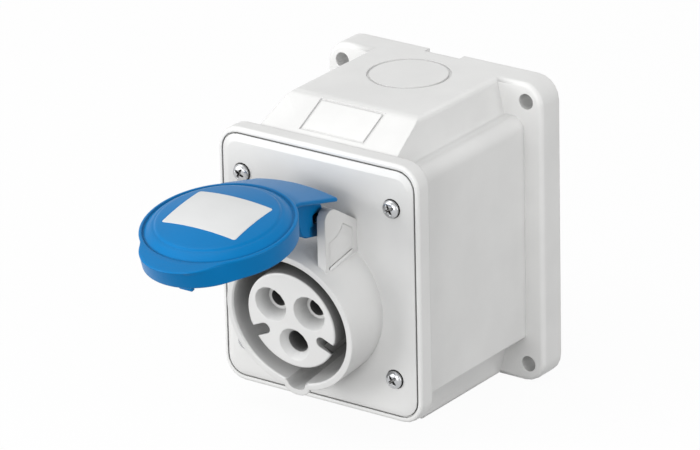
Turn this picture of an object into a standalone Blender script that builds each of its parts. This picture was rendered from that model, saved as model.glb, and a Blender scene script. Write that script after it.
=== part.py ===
# Industrial wall socket, 16 A, two poles and earth, for surface mounting, with a hinged lid.
# The origin is the centre of the flange's back face, which meets the wall.
# +X is right as seen from the front, -Y points out of the wall, +Z is up.

import math

import bmesh
import bpy
from mathutils import Matrix

MM = 0.001

# Clearances
FIT_GAP = 0.3 * MM
COVER_GAP = 0.6 * MM
KNUCKLE_GAP = 0.5 * MM

# Back box: flange on the wall. Depths are distances from the wall.
FLANGE_HALF_WIDTH = 43.3 * MM
FLANGE_HALF_HEIGHT = 53.6 * MM
FLANGE_DEPTH = 10.5 * MM
FLANGE_CORNER = 8.0 * MM
FLANGE_EDGE = 1.6 * MM
FIXING_PITCH_X = 74.3 * MM
FIXING_PITCH_Z = 94.1 * MM
FIXING_HOLE_RADIUS = 2.75 * MM
NOTCH_LEFT = -8.5 * MM
NOTCH_RIGHT = 5.5 * MM
NOTCH_FALL = 1.3 * MM
NOTCH_DEPTH = 3.0 * MM

# Back box: walls and floor
BODY_HALF_WIDTH = 36.2 * MM
BODY_TOP = 41.2 * MM
BODY_BOTTOM = -38.0 * MM
BODY_TOP_CORNER = 4.6 * MM
BODY_BOTTOM_CORNER = 1.2 * MM
WALL = 2.2 * MM
FLOOR = 2.5 * MM

# Back box: humps for the cable entries, above and below
HUMP_BASE_HALF = 28.4 * MM
HUMP_CREST_HALF = 25.5 * MM
HUMP_SLOPE_RUN = 16.3 * MM
HUMP_SLOPE = math.radians(27.5)
HUMP_BEND_RADIUS = 9.0 * MM
HUMP_EDGE = 2.5 * MM
KNOCKOUT_DEPTH = 23.4 * MM
KNOCKOUT_RADIUS = 14.2 * MM
KNOCKOUT_X = -0.7 * MM
PANEL_HALF_WIDTH = 13.0 * MM
PANEL_START = 2.6 * MM
PANEL_LENGTH = 14.5 * MM
GROOVE_WIDTH = 0.9 * MM
GROOVE_FALL = 0.5 * MM

# Cover plate
COVER_HALF_WIDTH = 38.06 * MM
COVER_HALF_HEIGHT = 42.95 * MM
COVER_CENTRE_Z = 0.45 * MM
COVER_CORNER = 6.2 * MM
COVER_DEPTH = 78.0 * MM
COVER_THICKNESS = 2.8 * MM
COVER_BORDER = 2.4 * MM
COVER_BORDER_FALL = 0.7 * MM
GASKET_THICKNESS = 0.8 * MM
GASKET_WIDTH = 2.8 * MM

# Collar of the back box, which frames the cover
COLLAR_STEP = 0.7 * MM
COLLAR_LENGTH = 6.0 * MM
COLLAR_WALL_SIDE = 1.34 * MM
COLLAR_WALL_TOP = 1.7 * MM
COLLAR_CORNER = 8.0 * MM
COLLAR_EDGE = 1.0 * MM

# Cover screws and the pillars that take them
SCREW_INSET_X = 8.06 * MM
SCREW_INSET_Z = 12.95 * MM
PILLAR_RADIUS = 4.6 * MM
COVER_SCREW_RADIUS = 1.9 * MM
COVER_SCREW_LENGTH = 16.0 * MM
COVER_SCREW_HEAD_RADIUS = 3.05 * MM
COVER_SCREW_HEAD = 2.4 * MM
COVER_SCREW_SINK = 0.6 * MM
SCREW_RECESS_WIDTH = 0.9 * MM
SCREW_RECESS_FALL = 1.2 * MM

# Shroud of the cover, tilted down from the wall's normal
SHROUD_TILT = math.radians(8.0)
RIM_RISE = 16.84 * MM
RIM_ABOVE_EDGE = 32.15 * MM
BORE_RADIUS = 22.55 * MM
SHROUD_RADIUS = 25.1 * MM
SHROUD_FOOT_RADIUS = 25.6 * MM
SHROUD_FOOT = 17.0 * MM
RIM_EDGE = 0.5 * MM
WELL_DEPTH = 36.0 * MM
KEYWAY_WIDTH = 7.3 * MM
KEYWAY_REACH = 25.3 * MM
KEYWAY_WALL = 2.0 * MM
KEYWAY_CORNER = 3.0 * MM

# Hinge ears of the cover, which taper towards their front
HINGE_RISE = 13.8 * MM
HINGE_ABOVE_RIM_CENTRE = 37.85 * MM
EAR_OUTER = 16.0 * MM
EAR_THICKNESS = 5.0 * MM
EAR_FRONT_RISE = 16.3 * MM
EAR_SLOPE = math.radians(32.4)
EAR_ROOT_BELOW_HINGE = 3.7 * MM
EAR_TOE_BELOW_HINGE = 24.5 * MM
EAR_CORNER = 3.6 * MM
EAR_DRAFT = math.radians(3.1)
EAR_RECESS = 0.4 * MM
EAR_BACK_RIM = 2.2 * MM
EAR_FRONT_RIM = 1.7 * MM
EAR_TOP_RIM = 3.6 * MM
EAR_RECESS_FOOT = 16.9 * MM
EAR_RECESS_RISE = 3.1 * MM
EAR_BOSS_RADIUS = 7.2 * MM
PIN_RADIUS = 1.8 * MM
PIN_HALF_LENGTH = 14.2 * MM

# Contact carrier, in the shroud's frame
CARRIER_RADIUS = 17.4 * MM
CARRIER_RECESS = 1.3 * MM
CARRIER_EDGE = 0.5 * MM
CARRIER_FLANGE = 3.0 * MM
PIN_CIRCLE_RADIUS = 8.9 * MM
SLOT_INNER_X = 11.4 * MM
SLOT_INNER_U = -5.5 * MM
SLOT_LEAN = math.radians(24.0)
SLOT_WIDTH = 4.0 * MM
SLOT_DEPTH = 30.0 * MM
UNDERCUT_X = 6.6 * MM
UNDERCUT_SKIN = 1.6 * MM
BACK_PLATE = 3.0 * MM
CARRIER_SCREW_X = 28.3 * MM
CARRIER_BOSS_RADIUS = 3.6 * MM
CARRIER_SCREW_RADIUS = 1.4 * MM
CARRIER_SCREW_HEAD_RADIUS = 2.8 * MM
CARRIER_SCREW_HEAD = 2.0 * MM
CARRIER_SCREW_LENGTH = 14.0 * MM

# Contacts: mouth radius, mouth depth, throat radius, sleeve bore and sleeve wall
POLE_MOUTH_RADIUS = 6.25 * MM
POLE_MOUTH_DEPTH = 4.8 * MM
POLE_FLOOR_RADIUS = 4.1 * MM
POLE_THROAT_RADIUS = 3.0 * MM
POLE_SLEEVE_BORE = 2.6 * MM
EARTH_MOUTH_RADIUS = 5.9 * MM
EARTH_MOUTH_DEPTH = 2.5 * MM
EARTH_THROAT_RADIUS = 3.95 * MM
EARTH_SLEEVE_BORE = 3.6 * MM
THROAT_LENGTH = 10.0 * MM
SLEEVE_WALL = 1.2 * MM
SLEEVE_COLLAR = 1.0 * MM
SLEEVE_COLLAR_LENGTH = 2.0 * MM
TERMINAL_SIZE = 8.0 * MM
TERMINAL_LENGTH = 10.0 * MM
TERMINAL_WIRE_RADIUS = 1.9 * MM
TERMINAL_SCREW_RADIUS = 1.5 * MM
TERMINAL_SCREW_HEAD_RADIUS = 2.4 * MM
TERMINAL_SCREW_HEAD = 1.8 * MM
TERMINAL_SCREW_REACH = 1.2 * MM

# Lid, in its own frame: the hinge axis is its origin, y runs to the thumb lip, z is its outside
LID_OPEN_ANGLE = math.radians(88.4)
LID_SEAT_GAP = 0.4 * MM
LID_SKIRT = 7.3 * MM
LID_RADIUS = 25.7 * MM
LID_MOUTH_RADIUS = 25.1 * MM
LID_CREASE_RADIUS = 24.2 * MM
LID_CREASE_RISE = 0.3 * MM
LID_PLATEAU_RADIUS = 21.2 * MM
LID_PLATEAU_RISE = 2.2 * MM
LID_DOME = 2.2 * MM
LID_WALL = 1.9 * MM
LIP_TOP_CENTRE = 14.07 * MM
LIP_TOP_RADIUS = 17.3 * MM
LIP_TOP_FALL = 0.5 * MM
LIP_BASE_CENTRE = 8.75 * MM
LIP_BASE_RADIUS = 20.3 * MM
LIP_WALL = 1.8 * MM
SEAL_OUTER = 23.6 * MM
SEAL_INNER = 21.3 * MM
SEAL_THICKNESS = 3.0 * MM
CATCH_HALF_WIDTH = 2.6 * MM
CATCH_RADIUS = 20.8 * MM
CATCH_THICKNESS = 1.6 * MM
CATCH_REACH = 6.3 * MM
LABEL_WIDTH = 29.0 * MM
LABEL_HEIGHT = 21.0 * MM
LABEL_CORNER = 0.8 * MM
LABEL_THICKNESS = 0.35 * MM

# Arm of the lid: a crowned plate over the ears and a knuckle between them
ARM_THICKNESS = 1.6 * MM
ARM_CROWN = 1.8 * MM
ARM_TAIL_Y = -4.95 * MM
ARM_TAIL_Z = 6.47 * MM
ARM_HEAD_Y = 16.75 * MM
KNUCKLE_BARREL_RADIUS = 4.3 * MM
KNUCKLE_BARREL_INSET = 1.8 * MM

# Facets
ROUND_STEPS = 56
SMALL_STEPS = 16
CORNER_STEPS = 5

# Derived places
COLLAR_DEPTH = COVER_DEPTH - COLLAR_STEP
HUMP_BEND_DEPTH = COLLAR_DEPTH - COLLAR_LENGTH - HUMP_SLOPE_RUN
RIM_DEPTH = COVER_DEPTH + RIM_RISE
RIM_Z = COVER_CENTRE_Z - COVER_HALF_HEIGHT + RIM_ABOVE_EDGE
HINGE_DEPTH = COVER_DEPTH + HINGE_RISE
HINGE_Z = RIM_Z + HINGE_ABOVE_RIM_CENTRE
EAR_FRONT = COVER_DEPTH + EAR_FRONT_RISE
EAR_ROOT_Z = HINGE_Z - EAR_ROOT_BELOW_HINGE
RIM_CENTRE = (0.0, -RIM_DEPTH, RIM_Z)
HINGE_CENTRE = (0.0, -HINGE_DEPTH, HINGE_Z)
FRONT = Matrix.Rotation(math.radians(90.0), 4, "X")
SIDE = Matrix(((0, 0, -1, 0), (-1, 0, 0, 0), (0, 1, 0, 0), (0, 0, 0, 1)))
SHROUD = Matrix.Translation(RIM_CENTRE) @ Matrix.Rotation(math.radians(90.0) + SHROUD_TILT, 4, "X")
LID_TILT = math.radians(90.0) + SHROUD_TILT - LID_OPEN_ANGLE
COVER_BACK = COVER_DEPTH - COVER_THICKNESS
LEDGE_DEPTH = COVER_BACK - GASKET_THICKNESS - 2 * FIT_GAP
POCKET_HALF_WIDTH = COVER_HALF_WIDTH + COVER_GAP
POCKET_HALF_HEIGHT = COVER_HALF_HEIGHT + COVER_GAP
COLLAR_HALF_WIDTH = POCKET_HALF_WIDTH + COLLAR_WALL_SIDE
COLLAR_HALF_HEIGHT = POCKET_HALF_HEIGHT + COLLAR_WALL_TOP
SCREW_X = COVER_HALF_WIDTH - SCREW_INSET_X
SCREW_Z = COVER_HALF_HEIGHT - SCREW_INSET_Z
SCREW_PLACES = [(x * SCREW_X, COVER_CENTRE_Z + z * SCREW_Z) for z in (1, -1) for x in (-1, 1)]
EAR_INNER = EAR_OUTER - EAR_THICKNESS
CARRIER_BACK_Z = -WELL_DEPTH - FIT_GAP - CARRIER_FLANGE
BACK_PLATE_TOP = CARRIER_BACK_Z - FIT_GAP
BACK_PLATE_BOTTOM = BACK_PLATE_TOP - BACK_PLATE
HINGE_ABOVE_RIM = SHROUD.inverted() @ Matrix.Translation(HINGE_CENTRE).to_translation()
LID_REACH = HINGE_ABOVE_RIM.y
LID_MOUTH_Z = -HINGE_ABOVE_RIM.z + LID_SEAT_GAP
LID_EDGE_Z = LID_MOUTH_Z + LID_SKIRT
CONTACTS = {
    "line": (math.radians(150.0), "pole"),
    "neutral": (math.radians(30.0), "pole"),
    "earth": (math.radians(270.0), "earth"),
}
CONTACT_SIZES = {
    "pole": (POLE_MOUTH_RADIUS, POLE_MOUTH_DEPTH, POLE_FLOOR_RADIUS, POLE_THROAT_RADIUS, POLE_SLEEVE_BORE),
    "earth": (EARTH_MOUTH_RADIUS, EARTH_MOUTH_DEPTH, EARTH_THROAT_RADIUS, EARTH_THROAT_RADIUS, EARTH_SLEEVE_BORE),
}


# Scene and collections

for old in list(bpy.data.objects):
    bpy.data.objects.remove(old, do_unlink=True)

parts = bpy.data.collections.new("industrial_wall_socket")
cutters = bpy.data.collections.new("cutters")
bpy.context.scene.collection.children.link(parts)
bpy.context.scene.collection.children.link(cutters)


# Materials

def material(name, colour, roughness, metallic=0.0):
    """A plain material with a base colour, roughness and metallic value."""
    made = bpy.data.materials.new(name)
    made.use_nodes = True
    shader = made.node_tree.nodes["Principled BSDF"]
    shader.inputs["Base Color"].default_value = (*colour, 1.0)
    shader.inputs["Roughness"].default_value = roughness
    shader.inputs["Metallic"].default_value = metallic
    return made


BOX_GREY = (0.62, 0.62, 0.61)
COVER_GREY = (0.60, 0.60, 0.59)
CARRIER_GREY = (0.66, 0.66, 0.65)
LID_BLUE = (0.01, 0.13, 0.48)
SEAL_BLACK = (0.02, 0.02, 0.02)
ZINC = (0.72, 0.72, 0.74)
BRASS = (0.78, 0.60, 0.28)
LABEL_WHITE = (0.85, 0.85, 0.85)


# Outlines

def rounded(corners, steps=CORNER_STEPS):
    """Points of a closed outline. Each corner is (x, y, radius), and its arc touches both its sides."""
    points = []
    for index, (x, y, radius) in enumerate(corners):
        before = corners[index - 1]
        after = corners[(index + 1) % len(corners)]
        if radius <= 0.0:
            points.append((x, y))
            continue
        from_angle = math.atan2(before[1] - y, before[0] - x)
        to_angle = math.atan2(after[1] - y, after[0] - x)
        turn = (to_angle - from_angle + math.pi) % (2 * math.pi) - math.pi
        middle = from_angle + turn / 2
        reach = radius / math.sin(abs(turn) / 2)
        centre_x = x + reach * math.cos(middle)
        centre_y = y + reach * math.sin(middle)
        sweep = math.pi - abs(turn)
        sense = -1.0 if turn > 0 else 1.0
        start = middle + math.pi - sense * sweep / 2
        count = max(1, math.ceil(steps * sweep / (math.pi / 2)))
        for step in range(count + 1):
            angle = start + sense * sweep * step / count
            points.append((centre_x + radius * math.cos(angle), centre_y + radius * math.sin(angle)))
    return points


def rectangle(half_width, half_height, radius, centre_y=0.0):
    """Corners of a rectangle with one radius, centred on x = 0."""
    return [
        (-half_width, centre_y - half_height, radius),
        (half_width, centre_y - half_height, radius),
        (half_width, centre_y + half_height, radius),
        (-half_width, centre_y + half_height, radius),
    ]


# Solids

def place(name, mesh, matrix, helper=False):
    """Puts a mesh in the scene at its place. A helper is a form that only shapes another piece."""
    made = bpy.data.objects.new(name, mesh)
    made.matrix_world = matrix
    if helper:
        cutters.objects.link(made)
        made.hide_render = True
        made.display_type = "WIRE"
    else:
        parts.objects.link(made)
    return made


def extruded(name, outline, low, high, matrix, helper=True):
    """A flat outline in local XY, with straight walls from local z low to high."""
    curve = bpy.data.curves.new(name, "CURVE")
    curve.dimensions = "2D"
    curve.fill_mode = "BOTH"
    curve.extrude = (high - low) / 2
    spline = curve.splines.new("POLY")
    spline.points.add(len(outline) - 1)
    for point, (x, y) in zip(spline.points, outline):
        point.co = (x, y, 0.0, 1.0)
    spline.use_cyclic_u = True
    drawn = bpy.data.objects.new(name, curve)
    cutters.objects.link(drawn)
    graph = bpy.context.evaluated_depsgraph_get()
    mesh = bpy.data.meshes.new_from_object(drawn.evaluated_get(graph))
    bpy.data.objects.remove(drawn, do_unlink=True)
    form = bmesh.new()
    form.from_mesh(mesh)
    bmesh.ops.remove_doubles(form, verts=form.verts, dist=FIT_GAP / 100)
    bmesh.ops.dissolve_limit(form, angle_limit=math.radians(0.5), verts=form.verts, edges=form.edges)
    bmesh.ops.translate(form, verts=form.verts, vec=(0.0, 0.0, (low + high) / 2))
    bmesh.ops.recalc_face_normals(form, faces=form.faces)
    form.to_mesh(mesh)
    form.free()
    return place(name, mesh, matrix, helper)


def turned(name, profile, steps, matrix, helper=True):
    """A profile of (radius, z) points turned about local z. It runs down its outer side."""
    mesh = bpy.data.meshes.new(name)
    count = len(profile)
    on_axis = profile[0][0] == 0.0
    edges = [(i, (i + 1) % count) for i in range(count - 1 if on_axis else count)]
    mesh.from_pydata([(radius, 0.0, z) for radius, z in profile], edges, [])
    made = place(name, mesh, matrix, helper)
    screw = made.modifiers.new("turn", "SCREW")
    screw.steps = steps
    screw.render_steps = steps
    screw.use_merge_vertices = True
    screw.merge_threshold = 0.00001
    return made


def cylinder(name, radius, low, high, steps, matrix, helper=True):
    """A straight cylinder along local z."""
    return turned(name, [(0.0, high), (radius, high), (radius, low), (0.0, low)], steps, matrix, helper)


def combine(target, form, operation):
    """Cuts a form out of a piece, joins it on, or keeps only what both hold."""
    modifier = target.modifiers.new(form.name, "BOOLEAN")
    modifier.operation = operation
    modifier.solver = "EXACT"
    modifier.object = form


def round_level(piece, level, radius, segments):
    """Rounds the outline edges that lie at one local height."""
    form = bmesh.new()
    form.from_mesh(piece.data)
    near = FIT_GAP / 100
    edges = [
        edge
        for edge in form.edges
        if all(abs(vert.co.z - level) < near for vert in edge.verts) and edge.calc_face_angle(0.0) > 0.5
    ]
    bmesh.ops.bevel(form, geom=edges, offset=radius, segments=segments, profile=0.5, affect="EDGES")
    form.to_mesh(piece.data)
    form.free()


def at(matrix, x, y, z=0.0):
    """The same frame, moved in its own axes."""
    return matrix @ Matrix.Translation((x, y, z))


def finish(piece, name, colour, roughness, metallic=0.0):
    """Gives a piece its own material, and smooth shading on its round walls."""
    piece.data.materials.append(material(name, colour, roughness, metallic))
    if piece.data.polygons:
        piece.data.shade_smooth()
        piece.data.set_sharp_from_angle(angle=math.radians(30.0))
    return piece


# Back box: one moulding of flange, walls, humps and collar, open at the front

def hump(name, side, inset, low):
    """A hump's form: its drafted section along the depth, kept inside its side profile."""
    draft = (HUMP_BASE_HALF - HUMP_CREST_HALF) / (FLANGE_HALF_HEIGHT - BODY_TOP)
    foot = BODY_TOP - 2 * WALL
    crest = FLANGE_HALF_HEIGHT - inset
    foot_half = HUMP_BASE_HALF - inset + draft * (BODY_TOP - foot)
    crest_half = HUMP_CREST_HALF - inset + draft * inset
    edge = max(HUMP_EDGE - inset, FIT_GAP)
    section = rounded(
        [
            (-foot_half, side * foot, 0.0),
            (foot_half, side * foot, 0.0),
            (crest_half, side * crest, edge),
            (-crest_half, side * crest, edge),
        ],
        4,
    )
    end = LEDGE_DEPTH + FIT_GAP
    bend = HUMP_BEND_DEPTH - inset * math.tan(HUMP_SLOPE / 2)
    fall = (end - bend) * math.tan(HUMP_SLOPE)
    profile = rounded(
        [
            (low, side * foot * 0.9, 0.0),
            (end, side * foot * 0.9, 0.0),
            (end, side * (crest - fall), 0.0),
            (bend, side * crest, HUMP_BEND_RADIUS),
            (low, side * crest, 0.0),
        ],
        4,
    )
    form = extruded(name, section, low, end, FRONT)
    combine(form, extruded(name + "_profile", profile, -2 * foot_half, 2 * foot_half, SIDE), "INTERSECT")
    return form


def hump_grooves(side):
    """The thin outlines on a hump: a round knock-out on its crest and a panel on its slope."""
    crest = Matrix.Translation((KNOCKOUT_X, -KNOCKOUT_DEPTH, side * FLANGE_HALF_HEIGHT))
    ring = [
        (KNOCKOUT_RADIUS, GROOVE_FALL),
        (KNOCKOUT_RADIUS, -GROOVE_FALL),
        (KNOCKOUT_RADIUS - GROOVE_WIDTH, -GROOVE_FALL),
        (KNOCKOUT_RADIUS - GROOVE_WIDTH, GROOVE_FALL),
    ]
    groove = turned("knockout_groove", ring, ROUND_STEPS // 2, crest)
    top = FLANGE_HALF_HEIGHT
    collar_back = COLLAR_DEPTH - COLLAR_LENGTH
    foot_z = top - (collar_back - HUMP_BEND_DEPTH) * math.tan(HUMP_SLOPE)
    lean = Matrix.Rotation(side * HUMP_SLOPE, 4, "X")
    slope = Matrix.Translation((0.0, -collar_back, side * foot_z)) @ lean
    return groove, slope


def make_back_box():
    """Flange, walls, two humps and collar as one shell, with pillars for the cover screws."""
    flange = rounded(rectangle(FLANGE_HALF_WIDTH, FLANGE_HALF_HEIGHT, FLANGE_CORNER))
    box = extruded("back_box", flange, 0.0, FLANGE_DEPTH, FRONT, helper=False)
    round_level(box, FLANGE_DEPTH, FLANGE_EDGE, 3)
    walls = [
        (-BODY_HALF_WIDTH, BODY_BOTTOM, BODY_BOTTOM_CORNER),
        (BODY_HALF_WIDTH, BODY_BOTTOM, BODY_BOTTOM_CORNER),
        (BODY_HALF_WIDTH, BODY_TOP, BODY_TOP_CORNER),
        (-BODY_HALF_WIDTH, BODY_TOP, BODY_TOP_CORNER),
    ]
    hollow = [
        (x - math.copysign(WALL, x), z - math.copysign(WALL, z), max(radius - WALL, FIT_GAP)) for x, z, radius in walls
    ]
    collar = rounded(rectangle(COLLAR_HALF_WIDTH, COLLAR_HALF_HEIGHT, COLLAR_CORNER, COVER_CENTRE_Z))
    collar_form = extruded("collar_form", collar, COLLAR_DEPTH - COLLAR_LENGTH, COLLAR_DEPTH, FRONT)
    round_level(collar_form, COLLAR_DEPTH, COLLAR_EDGE, 3)
    combine(box, extruded("wall_form", rounded(walls), FLOOR, LEDGE_DEPTH - FIT_GAP, FRONT), "UNION")
    combine(box, hump("upper_hump_form", 1, 0.0, FLOOR), "UNION")
    combine(box, hump("lower_hump_form", -1, 0.0, FLOOR), "UNION")
    combine(box, collar_form, "UNION")
    pocket = rounded(
        rectangle(POCKET_HALF_WIDTH, POCKET_HALF_HEIGHT, COVER_CORNER + COVER_GAP, COVER_CENTRE_Z)
    )
    combine(box, extruded("pocket_cutter", pocket, LEDGE_DEPTH, COVER_DEPTH + WALL, FRONT), "DIFFERENCE")
    combine(box, extruded("hollow_cutter", rounded(hollow), FLOOR, COVER_DEPTH, FRONT), "DIFFERENCE")
    combine(box, hump("upper_hollow_cutter", 1, WALL, FLOOR), "DIFFERENCE")
    combine(box, hump("lower_hollow_cutter", -1, WALL, FLOOR), "DIFFERENCE")
    for number, (x, z) in enumerate(SCREW_PLACES, 1):
        spot = at(FRONT, x, z)
        pillar = cylinder(f"pillar_{number}_form", PILLAR_RADIUS, FLOOR / 2, LEDGE_DEPTH, SMALL_STEPS, spot)
        combine(box, pillar, "UNION")
    for number, (x, z) in enumerate(SCREW_PLACES, 1):
        spot = at(FRONT, x, z)
        deep = COVER_DEPTH - COVER_SCREW_LENGTH - WALL
        hole = COVER_SCREW_RADIUS + FIT_GAP
        combine(box, cylinder(f"pilot_{number}_cutter", hole, deep, COVER_DEPTH, SMALL_STEPS, spot), "DIFFERENCE")
    for number, (x, z) in enumerate([(-1, -1), (1, -1), (1, 1), (-1, 1)], 1):
        spot = at(FRONT, x * FIXING_PITCH_X / 2, z * FIXING_PITCH_Z / 2)
        hole = cylinder(f"fixing_{number}_cutter", FIXING_HOLE_RADIUS, -WALL, FLANGE_DEPTH + WALL, SMALL_STEPS, spot)
        combine(box, hole, "DIFFERENCE")
    notch = [
        (NOTCH_LEFT, FLANGE_HALF_HEIGHT - NOTCH_FALL, 0.0),
        (NOTCH_RIGHT, FLANGE_HALF_HEIGHT - NOTCH_FALL, 0.0),
        (NOTCH_RIGHT, FLANGE_HALF_HEIGHT + NOTCH_FALL, 0.0),
        (NOTCH_LEFT, FLANGE_HALF_HEIGHT + NOTCH_FALL, 0.0),
    ]
    combine(box, extruded("notch_cutter", rounded(notch), -NOTCH_DEPTH, NOTCH_DEPTH, FRONT), "DIFFERENCE")
    for side in (1, -1):
        groove, slope = hump_grooves(side)
        combine(box, groove, "DIFFERENCE")
        middle = PANEL_START + PANEL_LENGTH / 2
        half = PANEL_LENGTH / 2
        frame = extruded(
            "panel_groove_cutter", rounded(rectangle(PANEL_HALF_WIDTH, half, 0.0, middle)), -GROOVE_FALL, GROOVE_FALL, slope
        )
        inner = rectangle(PANEL_HALF_WIDTH - GROOVE_WIDTH, half - GROOVE_WIDTH, 0.0, middle)
        combine(frame, extruded("panel_core", rounded(inner), -2 * GROOVE_FALL, 2 * GROOVE_FALL, slope), "DIFFERENCE")
        combine(box, frame, "DIFFERENCE")
    return finish(box, "box_plastic", BOX_GREY, 0.4)


# Cover: one moulding of plate, shroud with keyway, well and hinge ears

def ear_outline():
    """Side outline of an ear as (depth, z): flat front, round top corner and a slope back to the cover."""
    heel = COVER_DEPTH - COVER_THICKNESS / 2
    toe = HINGE_Z - EAR_TOE_BELOW_HINGE
    rise = math.tan(EAR_SLOPE)
    return rounded(
        [
            (heel, toe, 0.0),
            (EAR_FRONT, toe, 0.0),
            (EAR_FRONT, EAR_ROOT_Z + rise * (EAR_FRONT - COVER_DEPTH), EAR_CORNER),
            (heel, EAR_ROOT_Z + rise * (heel - COVER_DEPTH), 0.0),
        ]
    )


def ear_recess_outline():
    """Outline of the shallow recess in an ear's outer face as (depth, z), along the ear's slope."""
    back = COVER_DEPTH + EAR_BACK_RIM
    front = EAR_FRONT - EAR_FRONT_RIM
    foot = HINGE_Z - EAR_RECESS_FOOT
    top = EAR_ROOT_Z - EAR_TOP_RIM
    rise = math.tan(EAR_SLOPE)
    return [
        (back, foot + EAR_RECESS_RISE),
        (front, foot),
        (front, top + rise * (front - COVER_DEPTH)),
        (back, top + rise * (back - COVER_DEPTH)),
    ]


def taper(piece, side):
    """Draws an ear's two faces together towards its front, and a cutter's with its outer face."""
    middle = EAR_THICKNESS / 2
    for vert in piece.data.vertices:
        beyond = vert.co.x - COVER_DEPTH
        outer = vert.co.z * side < 0.0
        shift = beyond * math.tan(EAR_DRAFT) * (1.0 if outer else -1.0)
        vert.co.z += side * min(shift, middle) if beyond > 0.0 else 0.0


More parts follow.
